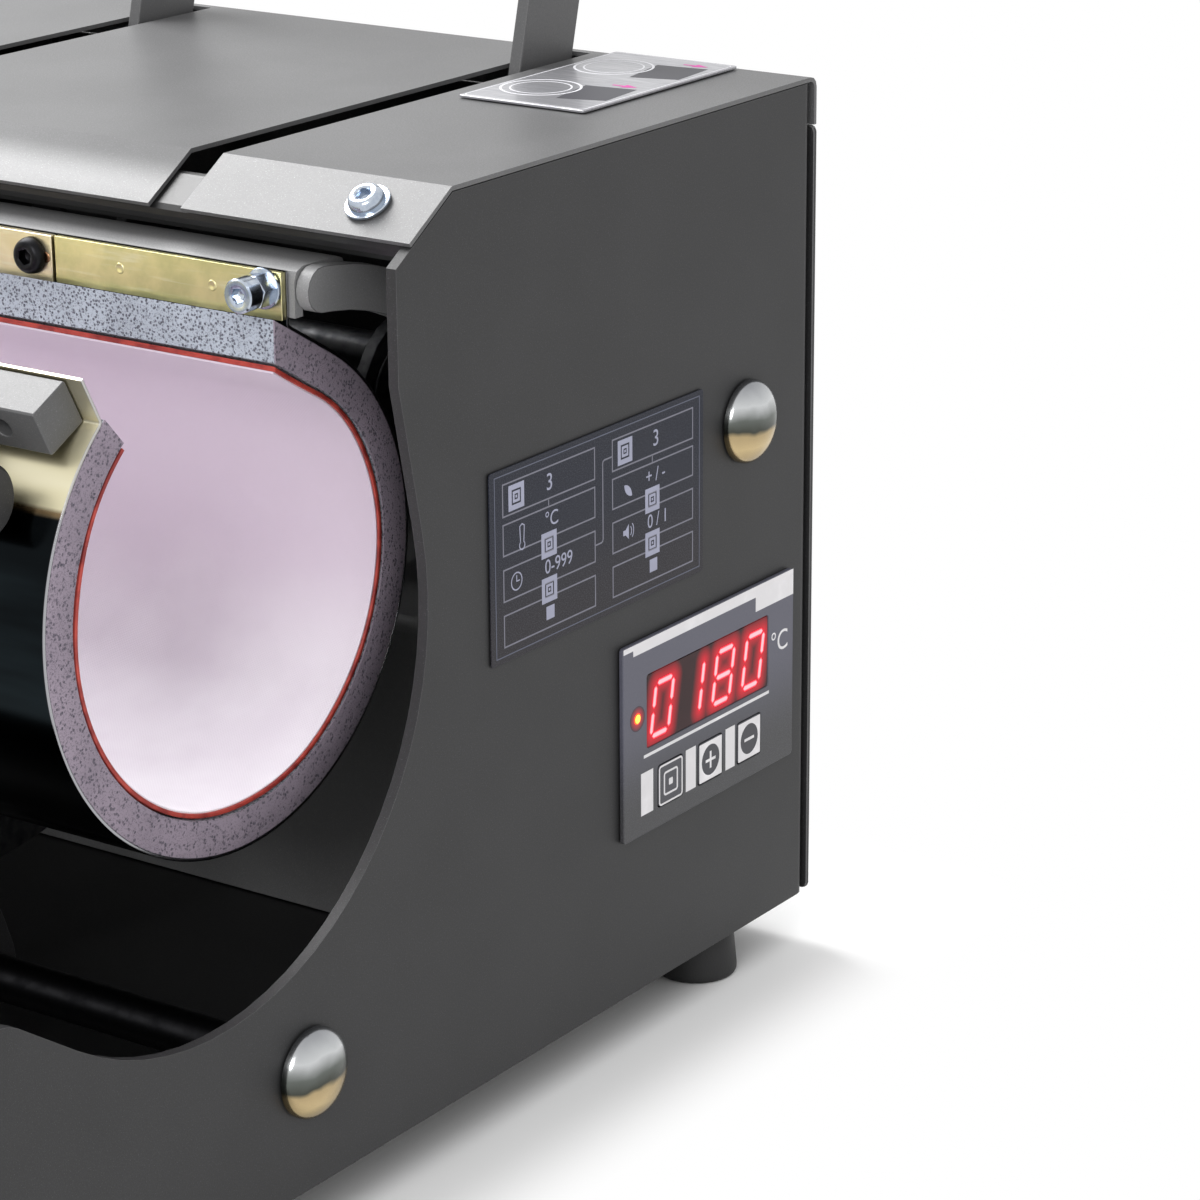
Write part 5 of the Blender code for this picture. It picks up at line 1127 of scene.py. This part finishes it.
strap_places = strap_line()
strap_length = sum((b - a).length for a, b in zip(strap_places, strap_places[1:]))
band_steel = spring_steel_painted_reflection("heat_tinted_strap", strap_length - PALE_REFLECTION_LENGTH)
strap_mesh = swept("band_strap", strap_places, BAND_HALF, STRAP_THICKNESS, 0.00015, band_steel)
smooth_below(strap_mesh, BAND_CREASE_DEG)
strap = as_object("band_strap", strap_mesh, band_steel)
print("strap:", round(strap_length * 1000, 1), "mm long")

# %% [markdown]
# ## The band in place of the CAD layers
#
# The CAD model's sponge, heater and strap are hidden; the new layers and the strap keep their places in their
# meshes and are not tied to the housing or the jaw.

# %% Hide the CAD band
for piece, node in (
    (band_layers["band_sponge"], "heater_foam"),
    (band_layers["band_heater"], "heater_mat"),
    (band_layers["band_cloth"], "heater_mat"),
    (strap, "heater_strap"),
):
    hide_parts(node)
    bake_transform(piece)
print("band pieces:", 4)

# %% [markdown]
# ## Ink
#
# The labels are screen prints: flat shapes a few hundredths of a millimetre thick. Every print here is drawn in
# millimetres on its own sheet, u across and v down from the sheet's corner, then filled with triangles, given its
# thickness and laid on the surface. A line of even width is an outline too, which `traced` works out with mitred
# corners. The press carries numbers, signs and small pictures only.

# %% Draw with ink
INK_HEIGHT, INK_LIFT, INK_MERGE = 0.00003, 0.000008, 0.0000005
RIGHT, UP = Vector((1, 0, 0)), Vector((0, 0, 1))


def traced(places, width, closed=False):
    """The outlines of a line of even width: one outline, or two when the line is closed."""
    places = [Vector(place) for place in places]
    sides = [[], []]
    for index, place in enumerate(places):
        back = place - places[index - 1] if index or closed else places[1] - place
        ahead = places[(index + 1) % len(places)] - place if index < len(places) - 1 or closed else back
        back, ahead = back.normalized(), ahead.normalized()
        normal = Vector((-back.y - ahead.y, back.x + ahead.x)).normalized()
        reach = width / 2 / max(0.4, normal.dot(Vector((-back.y, back.x))))
        sides[0].append(place + normal * reach)
        sides[1].append(place - normal * reach)
    return sides if closed else [sides[0] + sides[1][::-1]]


def circle(u, v, radius, start_deg=0, end_deg=360, steps=28):
    """Places round a circle, or along a part of it."""
    count = steps if end_deg - start_deg >= 360 else steps + 1
    turns = [radians(start_deg + (end_deg - start_deg) * step / steps) for step in range(count)]
    return [(u + radius * cos(turn), v + radius * sin(turn)) for turn in turns]


def box(left, top, right, bottom, corner=0.0):
    """Places round a box whose corners may be rounded."""
    if not corner:
        return [(left, top), (right, top), (right, bottom), (left, bottom)]
    middles = ((right - corner, top + corner), (right - corner, bottom - corner))
    middles += ((left + corner, bottom - corner), (left + corner, top + corner))
    return [place for k, (u, v) in enumerate(middles) for place in circle(u, v, corner, 90 * k - 90, 90 * k, 4)]


def lettering(text, size, u, v):
    """The filled triangles of a short text whose middle is at (u, v), as outlines of three places."""
    curve = bpy.data.curves.new("lettering", "FONT")
    curve.body, curve.size, curve.align_x, curve.align_y = text, size, "CENTER", "CENTER"
    carrier = as_object("lettering", curve)
    mesh = plain_mesh(carrier)
    bpy.data.objects.remove(carrier)
    mesh.calc_loop_triangles()
    corners = [(u + vert.co.x, v - vert.co.y) for vert in mesh.vertices]
    return [[[corners[index] for index in triangle.vertices]] for triangle in mesh.loop_triangles]


def turn_outward(shape, out):
    """Flip the faces that look away from a direction."""
    for face in shape.faces:
        face.normal_update()
        if face.normal.dot(out) < 0:
            face.normal_flip()


def inked(name, shapes, place, out, ink, node, height=INK_HEIGHT):
    """Fill shapes, each a list of outlines, lay them where place(u, v) says, and give them their thickness."""
    shape = bmesh.new()
    for outlines in shapes:
        flat = [[Vector((u, v, 0)) for u, v in outline] for outline in outlines]
        top = out * (height + INK_LIFT)
        verts = [shape.verts.new(place(u, v) + top) for outline in outlines for u, v in outline]
        for corners in tessellate_polygon(flat):
            if len(set(corners)) == 3:
                shape.faces.new([verts[corner] for corner in corners])
    turn_outward(shape, out)
    bmesh.ops.remove_doubles(shape, verts=shape.verts, dist=INK_MERGE)
    print_piece = as_object(name, mesh_from(shape, name), inks[ink])
    thick = print_piece.modifiers.new("ink", "SOLIDIFY")
    thick.thickness = height
    print_piece.data = plain_mesh(print_piece)
    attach(print_piece, body_of[node])


def on_side(node):
    """A sheet on the right side: u to the rear and v down from the upper front corner of a node's outer face."""
    low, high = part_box(node)
    return lambda u, v: Vector((high.x, low.y + u / 1000, high.z - v / 1000))


print("places round a rounded box:", len(box(0, 0, 10, 5, 1)))

# %% [markdown]
# ## The controller's print
#
# A white bar runs along the panel's top edge and widens into a bare tab at the rear. A white line closes off the
# display, and white blocks fill the gaps between the keys. The set key is drawn in outline, and plus and minus are
# pale signs on dark discs.

# %% Print the controller
panel_at = on_side("controller_panel")
panel_print = [
    [[(0.2, 0.2), (85.8, 0.2), (85.8, 7.7), (66, 7.7), (66, 3.4), (4.8, 3.4), (4.8, 1.7), (0.2, 1.7)]],
    [box(9.7, 33.1, 73.2, 34.0)],
    [box(8.3, 38.1, 14.2, 50.4)],
    [box(30.4, 38.1, 35.4, 50.4)],
    [box(50.6, 38.1, 55.4, 50.4)],
] + lettering("°C", 8.5, 78.6, 20.2)
inked("panel_print", panel_print, panel_at, RIGHT, "white", "controller_panel")


def key_sheet(node):
    """A key's own sheet, with its middle at (0, 0)."""
    low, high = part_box(node)
    return lambda u, v: Vector((high.x, (low.y + high.y) / 2 + u / 1000, (low.z + high.z) / 2 - v / 1000))


set_print = [
    traced(box(-5.6, -5.6, 5.6, 5.6, 0.9), 0.55, True),
    traced(box(-3.2, -3.2, 3.2, 3.2, 0.7), 0.6, True),
    [box(-0.95, -0.95, 0.95, 0.95, 0.3)],
]
inked("set_print", set_print, key_sheet("set_button"), RIGHT, "white", "set_button")
level = [[box(-2.5, -0.42, 2.5, 0.42)]]
upright = [[box(-0.42, -2.5, 0.42, -0.42)], [box(-0.42, 0.42, 0.42, 2.5)]]
disc = circle(0, 0, 4.5)
for node, signs in (("plus_button", level + upright), ("minus_button", level)):
    sheet = key_sheet(node)
    inked(node + "_ground", [[box(-5.7, -5.7, 5.7, 5.7, 0.3), disc]], sheet, RIGHT, "white", node)
    inked(node + "_disc", [[disc]], sheet, RIGHT, "dark", node, 0.00002)
    inked(node + "_sign", signs, sheet, RIGHT, "white", node, 0.00004)
print("controller printed")

# %% [markdown]
# ## The display
#
# Four seven-segment characters glow red behind a dark window. Each bar is a long hexagon, brightest along its
# middle, so its mesh carries a `warmth` attribute that is 1 on the middle line and 0 at its edge. Light also
# spreads in the window. Its front is a fine grid, and every corner of the grid is told how near the next lit bar
# is. The finish turns that number into a glow, so no light has to be hidden behind the window.

# %% Finishes that glow
def lit(name, edge, heart, full=1.0, **plain):
    """A lamp's face: its edge colour at warmth 0 and its heart colour at warmth 1."""
    material, shader, pen = new_finish(name, Emission_Strength=1.0, **plain)
    grains = grain(pen, 0.0008, 1)
    colour = (stored(pen, "warmth") * (0.9 + grains * 0.2)).between(0.1, full).blend(edge, heart)
    wire(shader, Base_Color=colour, Emission_Color=colour)
    return material


def glowing(name, shade, glow, roughness):
    """A dark face in which light spreads, by the glow attribute."""
    material, shader, pen = new_finish(name, Emission_Strength=1.0, Specular_IOR_Level=0.2)
    haze = grain(pen, 0.006, 2)
    ground = haze.between(0.3, 0.7).blend(shade, scaled(shade, 0.8))
    light = (stored(pen, "glow") ** 1.1 * (0.9 + haze * 0.2)).blend((0, 0, 0, 1), glow)
    wire(shader, Base_Color=ground, Emission_Color=light, Roughness=roughness + haze * 0.05)
    return material


bar_light = lit("lit_bar", tone(250, 4, 44), tone(255, 150, 156), Roughness=0.4, Specular_IOR_Level=0.2)
lamp_light = lit("lit_lamp", tone(255, 70, 10), tone(255, 236, 80), 0.45, Roughness=0.5)
window_finish = glowing("display_window", tone(50, 20, 23), tone(220, 10, 38), 0.16)
lamp_ground = glowing("lamp_ground", tone(64, 62, 70), tone(240, 24, 34), 0.42)
print("finishes that glow:", 4)

# %% [markdown]
# ## Bars and window
#
# The seven bars of a character are known by letters: a is the top one, then clockwise to f, and g is the middle
# one. The characters lean to the right. They show 0180, a temperature.

# %% Make the display
DIGITS_LEFT, DIGITS_TOP = 13.4, 14.3
DIGIT_WIDTH, DIGIT_HEIGHT, DIGIT_PITCH, DIGIT_LEAN = 8.6, 14.6, 15.3, 0.19
BAR_HALF, BAR_GAP = 0.95, 0.42
BARS = {"a": ((0, 0), (1, 0)), "b": ((1, 0), (1, 0.5)), "c": ((1, 0.5), (1, 1)), "d": ((0, 1), (1, 1))}
BARS |= {"e": ((0, 0.5), (0, 1)), "f": ((0, 0), (0, 0.5)), "g": ((0, 0.5), (1, 0.5))}
LIT_BARS = {"0": "abcdef", "1": "bc", "8": "abcdefg"}


def bar_ends():
    """Both ends of every lit bar, in mm on the panel's sheet."""
    ends = []
    for index, digit in enumerate("0180"):
        for letter in LIT_BARS[digit]:
            pair = []
            for across, down in BARS[letter]:
                lean = DIGIT_LEAN * DIGIT_HEIGHT * (1 - down)
                u = DIGITS_LEFT + DIGIT_PITCH * index + DIGIT_WIDTH * across + lean
                pair.append(Vector((u, DIGITS_TOP + DIGIT_HEIGHT * down)))
            way = (pair[1] - pair[0]).normalized()
            ends.append((pair[0] + way * BAR_GAP, pair[1] - way * BAR_GAP))
    return ends


def bar_mesh(ends, half, sheet, lift):
    """Long hexagons with their warmth, from the edge up to the middle line."""
    shape = bmesh.new()
    heat = shape.verts.layers.float.new("warmth")
    for start, end in ends:
        way = (end - start).normalized()
        side = Vector((-way.y, way.x))
        rings = []
        for reach, warmth in ((half, 0.0), (half * 0.36, 1.0)):
            first, last = start + way * (half - reach), end - way * (half - reach)
            ring = [first, first + (way + side) * reach, last - (way - side) * reach]
            ring += [last, last - (way + side) * reach, first + (way - side) * reach]
            rings.append([shape.verts.new(sheet(*place) + RIGHT * lift) for place in ring])
            for vert in rings[-1]:
                vert[heat] = warmth
        for k in range(6):
            shape.faces.new([rings[0][k], rings[0][(k + 1) % 6], rings[1][(k + 1) % 6], rings[1][k]])
        shape.faces.new(rings[1])
    turn_outward(shape, RIGHT)
    return mesh_from(shape, "bars")


def nearness(place, ends, spread):
    """1 on a lit bar and less with the distance from it."""
    least = spread
    for start, end in ends:
        run = end - start
        share = max(0.0, min(1.0, (place - start).dot(run) / run.length_squared))
        least = min(least, (place - start - run * share).length)
    return 1 - least / spread


def glow_window(node, ends, cell=0.55, spread=4.6):
    """The window's solid again, its front a grid that knows how near the lit bars are."""
    low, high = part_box(node)
    columns, rows = round((high.y - low.y) * 1000 / cell), round((high.z - low.z) * 1000 / cell)
    mesh = bpy.data.meshes.new("display_glass")
    places = [
        (high.x, low.y + (high.y - low.y) * i / columns, high.z - (high.z - low.z) * j / rows)
        for j in range(rows + 1) for i in range(columns + 1)
    ]
    stride = columns + 1
    faces = [
        (j * stride + i, (j + 1) * stride + i, (j + 1) * stride + i + 1, j * stride + i + 1)
        for j in range(rows) for i in range(columns)
    ]
    mesh.from_pydata(places, [], faces)
    glow = mesh.attributes.new("glow", "FLOAT", "POINT")
    panel_low, panel_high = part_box("controller_panel")
    for index, (_, y, z) in enumerate(places):
        spot = Vector(((y - panel_low.y) * 1000, (panel_high.z - z) * 1000))
        glow.data[index].value = nearness(spot, ends, spread)
    piece = as_object("display_glass", mesh, window_finish)
    solid = piece.modifiers.new("depth", "SOLIDIFY")
    solid.thickness = high.x - low.x
    piece.data = plain_mesh(piece)
    stand_in(piece, node)


lit_ends = bar_ends()
glow_window("display_window", lit_ends)
bars = as_object("lit_bars", bar_mesh(lit_ends, BAR_HALF, panel_at, -0.00016), bar_light)
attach(bars, "housing")
print("lit bars:", len(lit_ends))

# %% [markdown]
# ## The lamp beside the display
#
# A small round lamp shows that the press is heating. It is a low dome, hottest in its middle, on a disc of the
# panel's colour in which its light fades out.

# %% Make the lamp
LAMP_U, LAMP_V = 6.7, 21.6


def lamp_disc(name, radius, height, steps, material, attribute, lift):
    """Rings round a middle: a dome if it has a height, with an attribute that falls from 1 to 0."""
    shape = bmesh.new()
    fading = shape.verts.layers.float.new(attribute)
    rings = []
    for k in range(steps + 1):
        share = k / steps
        ring = []
        for turn_deg in range(0, 360, 10) if k else (0,):
            turn = radians(turn_deg)
            spot = panel_at(LAMP_U + radius * share * cos(turn), LAMP_V + radius * share * sin(turn))
            vert = shape.verts.new(spot + RIGHT * (lift + height * (1 - share * share)))
            vert[fading] = 1 - share
            ring.append(vert)
        rings.append(ring)
    for low, high in zip(rings, rings[1:]):
        for k in range(len(high)):
            corners = [low[k % len(low)], low[(k + 1) % len(low)], high[(k + 1) % len(high)], high[k]]
            shape.faces.new(list(dict.fromkeys(corners)))
    turn_outward(shape, RIGHT)
    mesh = mesh_from(shape, name)
    smooth_below(mesh, 60)
    piece = as_object(name, mesh, material)
    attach(piece, "housing")


lamp_disc("lamp_halo", 3.6, 0.0, 8, lamp_ground, "glow", 0.000012)
lamp_disc("lamp_dome", 1.6, 0.0003, 6, lamp_light, "warmth", 0.00002)
print("lamp made")

# %% [markdown]
# ## The print on the side label
#
# The label explains the set key: two columns of boxes with the key's picture between them. The boxes are framed
# with thin lines and joined by one thin line with rounded corners. What each step is for is told by a picture
# or a number.

# %% Print the side label
LINE = 0.42


def key_picture(u, v, half=3.4):
    """The set key's picture: a pale square with a ring and a dot cut out of it, and the dot's dark edge."""
    square, middle_line, dot, core = [box(u - r, v - r, u + r, v + r) for r in (half, 1.75, 0.75, 0.35)]
    ring = traced(middle_line, 0.5, True)
    inner, outer = sorted(ring, key=lambda outline: abs(outline[0][0] - u))
    return [[square, outer], [inner, dot], [core]]


def small_pictures():
    """A thermometer, a clock, a leaf and a loudspeaker."""
    stem = traced([(13.2, 21.4), (12.9, 16.9), (13.9, 16.3), (14.9, 16.9), (14.6, 21.4)], 0.35)
    bulb = traced(circle(13.9, 22.0, 1.15, -50, 230), 0.35)
    dial = traced(circle(11.3, 31.0, 2.3), 0.35, True)
    hands = traced([(11.3, 29.4), (11.3, 31.0), (12.6, 31.0)], 0.35)
    leaf = circle(60.2, 21.4, 3.6, -90, 0, 8)[:-1] + circle(63.8, 17.8, 3.6, 90, 180, 8)[:-1]
    horn = [(59.6, 30.3), (60.7, 30.3), (62.2, 28.9), (62.2, 33.1), (60.7, 31.7), (59.6, 31.7)]
    sound = [traced(circle(61.6, 31.0, r, -40, 40, 8), 0.32) for r in (1.9, 2.9)]
    return [stem, bulb, dial, hands, [leaf], [horn]] + sound


columns = ((5.7, 46.5), (54.7, 93.0))
rows = ((4.1, 12.6), (14.8, 23.0), (26.8, 35.2), (39.0, 47.4))
frames = [traced(box(2.2, 1.6, 96.3, 49.8), 0.3, True)]
label_print, icons = [], []
for left, right in columns:
    middle = (left + right) / 2 - 0.4
    for top, bottom in rows:
        label_print.append(traced(box(left, top, right, bottom), LINE, True))
    label_print.append([box(middle - 0.2, 12.9, middle + 0.2, 14.5)])
    icons += key_picture(left + 5.9, 8.4) + key_picture(middle, 24.9) + key_picture(middle, 37.1)
corner_line = [(46.8, 30.8), (49.4, 30.8), (50.0, 30.5), (50.2, 30.0)]
corner_line += [(50.2, 9.3), (50.4, 8.8), (51.0, 8.5), (54.4, 8.5)]
label_print.append(traced(corner_line, LINE))
label_text = lettering("3", 6.4, 26.2, 8.4) + lettering("3", 6.4, 75.2, 8.4)
label_text += lettering("°C", 5.6, 27.0, 18.4) + lettering("0-999", 5.4, 30.0, 31.0)
label_text += lettering("+ / -", 5.4, 75.0, 18.4) + lettering("0 / 1", 5.4, 76.0, 31.0)
label_text += [[box(24.2, 41.6, 27.8, 45.2)], [box(72.1, 41.6, 75.7, 45.2)]]
label_at = on_side("side_label")
for name, shapes, ink, height in (
    ("label_frame", frames, "faint", INK_HEIGHT),
    ("label_lines", label_print, "line", 0.000026),
    ("label_icons", icons, "pale", 0.000034),
    ("label_text", label_text + small_pictures(), "pale", INK_HEIGHT),
):
    inked(name, shapes, label_at, RIGHT, ink, "side_label", height)
print("label printed:", len(label_print), "lines,", len(icons), "icon shapes")

# %% [markdown]
# ## The print on the top label
#
# The plate on the cover shows, twice, a round tumbler and the way it moves. Only the kind of picture is kept: two
# double circles, two slanted blocks and small arrows.

# %% Print the top label
top_low, top_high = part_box("top_label")


def top_at(u, v):
    """The top label's sheet: u to the right and v to the front from its rear left corner."""
    return Vector((top_low.x + u / 1000, top_high.y - v / 1000, top_high.z))


rings, blocks, arrows = [], [], []
for v in (20, 55):
    rings += [traced(circle(13, v, 11, steps=48), 0.7, True), traced(circle(13, v, 8.4, steps=48), 0.5, True)]
    blocks.append([[(21.5, v - 9), (37, v - 11), (38.5, v + 6), (25, v + 10)]])
    arrows.append([[(31, v - 15.4), (35.4, v - 13.4), (31, v - 11.6)]])
    arrows.append([box(27.4, v - 13.9, 31, v - 13.0)])
edges = [traced(box(1.0, 1.0, 40.0, 74.0, 1.5), 0.35, True)]
inked("plate_rings", rings + edges, top_at, UP, "grey", "top_label")
inked("plate_blocks", blocks, top_at, UP, "dark", "top_label", 0.000026)
inked("plate_arrows", arrows, top_at, UP, "violet", "top_label", 0.000034)
print("top label printed")

# %% [markdown]
# ## Studio
#
# The photograph has a white ground with one soft shadow. A pale floor takes the shadow near the press and fades
# into plain white further out. The world is white only for what the camera and the mirrors see, and a quiet
# grey for everything else, so that a white background doesn't flood the press with light. One large soft lamp
# above and to the left gives the pale lip of the cover and the shadow on the right. A weak one stands in front.

# %% Floor, world and lamps
FLOOR_REACH = 6.0
SHADOW_GROUND = 0.036


def seen_directly(pen):
    """1 for rays from the camera and from mirrors and glass, 0 for light that spreads."""
    path = "ShaderNodeLightPath"
    direct = pen.node(path, output="Is Camera Ray") + pen.node(path, output="Is Glossy Ray")
    return pen.maths("MINIMUM", direct + pen.node(path, output="Is Transmission Ray"), 1.0)


def studio_world(strength):
    """White where it is looked at, grey where it gives light."""
    world = bpy.data.worlds.new("white_studio")
    world.use_nodes = True
    tree = world.node_tree
    pen = Signal(tree)
    tree.nodes["Background"].inputs["Color"].default_value = (1, 1, 1, 1)
    power = seen_directly(pen) * (1 - strength) + strength
    tree.links.new(power.socket, tree.nodes["Background"].inputs["Strength"])
    bpy.context.scene.world = world


def studio_floor():
    """A floor that keeps the shadow near the press and fades to white."""
    mesh = bpy.data.meshes.new("floor")
    r = FLOOR_REACH
    mesh.from_pydata([(-r, -r, 0), (r, -r, 0), (r, r, 0), (-r, r, 0)], [], [(0, 1, 2, 3)])
    floor = placed("studio_floor", mesh)
    plain = {"Base_Color": (0.93, 0.93, 0.93, 1), "Roughness": 0.9, "Specular_IOR_Level": 0.0}
    material, shader, pen = new_finish("pale_floor", **plain)
    middle, half = (solids_box[0] + solids_box[1]) / 2, (solids_box[1] - solids_box[0]) / 2
    beyond = []
    for axis in (0, 1):
        from_middle = pen.maths("ABSOLUTE", object_place(pen, axis) - middle[axis])
        beyond.append(pen.maths("MAXIMUM", from_middle - half[axis], 0.0))
    away = pen.maths("SQRT", beyond[0] * beyond[0] + beyond[1] * beyond[1])
    white = pen.node("ShaderNodeEmission", {}, {"Color": (1, 1, 1, 1), "Strength": 1.0})
    share = away.between(0.0, SHADOW_GROUND) * seen_directly(pen)
    body = Signal(material.node_tree, shader.outputs[0])
    mixed = pen.node("ShaderNodeMixShader", {}, {0: share, 1: body, 2: white})
    material.node_tree.links.new(mixed.socket, material.node_tree.nodes["Material Output"].inputs["Surface"])
    mesh.materials.append(material)
    floor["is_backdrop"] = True


def soft_lamp(name, place, target, size, watts):
    """A square area lamp aimed at a place."""
    data = bpy.data.lights.new(name, "AREA")
    data.size = size
    data.energy = watts
    placed(name, data).matrix_world = aimed(place, target)


studio_world(0.85)
studio_floor()
soft_lamp("overhead_lamp", (-0.80, 0.16, 1.22), (0, -0.02, 0.22), 0.9, 27)
soft_lamp("front_lamp", (0.5, -1.3, 0.9), (0, 0, 0.15), 0.6, 8)
print("lamps:", 2)

# %% [markdown]
# ## The last measures
#
# The box of the dressed press is set beside the box of the solids.

# %% Measure and finish
dressed_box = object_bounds()
boxes = {"solids": [list(corner) for corner in solids_box], "dressed": [list(corner) for corner in dressed_box]}
for label, corners in boxes.items():
    print(label, [[round(v * 1000, 1) for v in corner] for corner in corners])
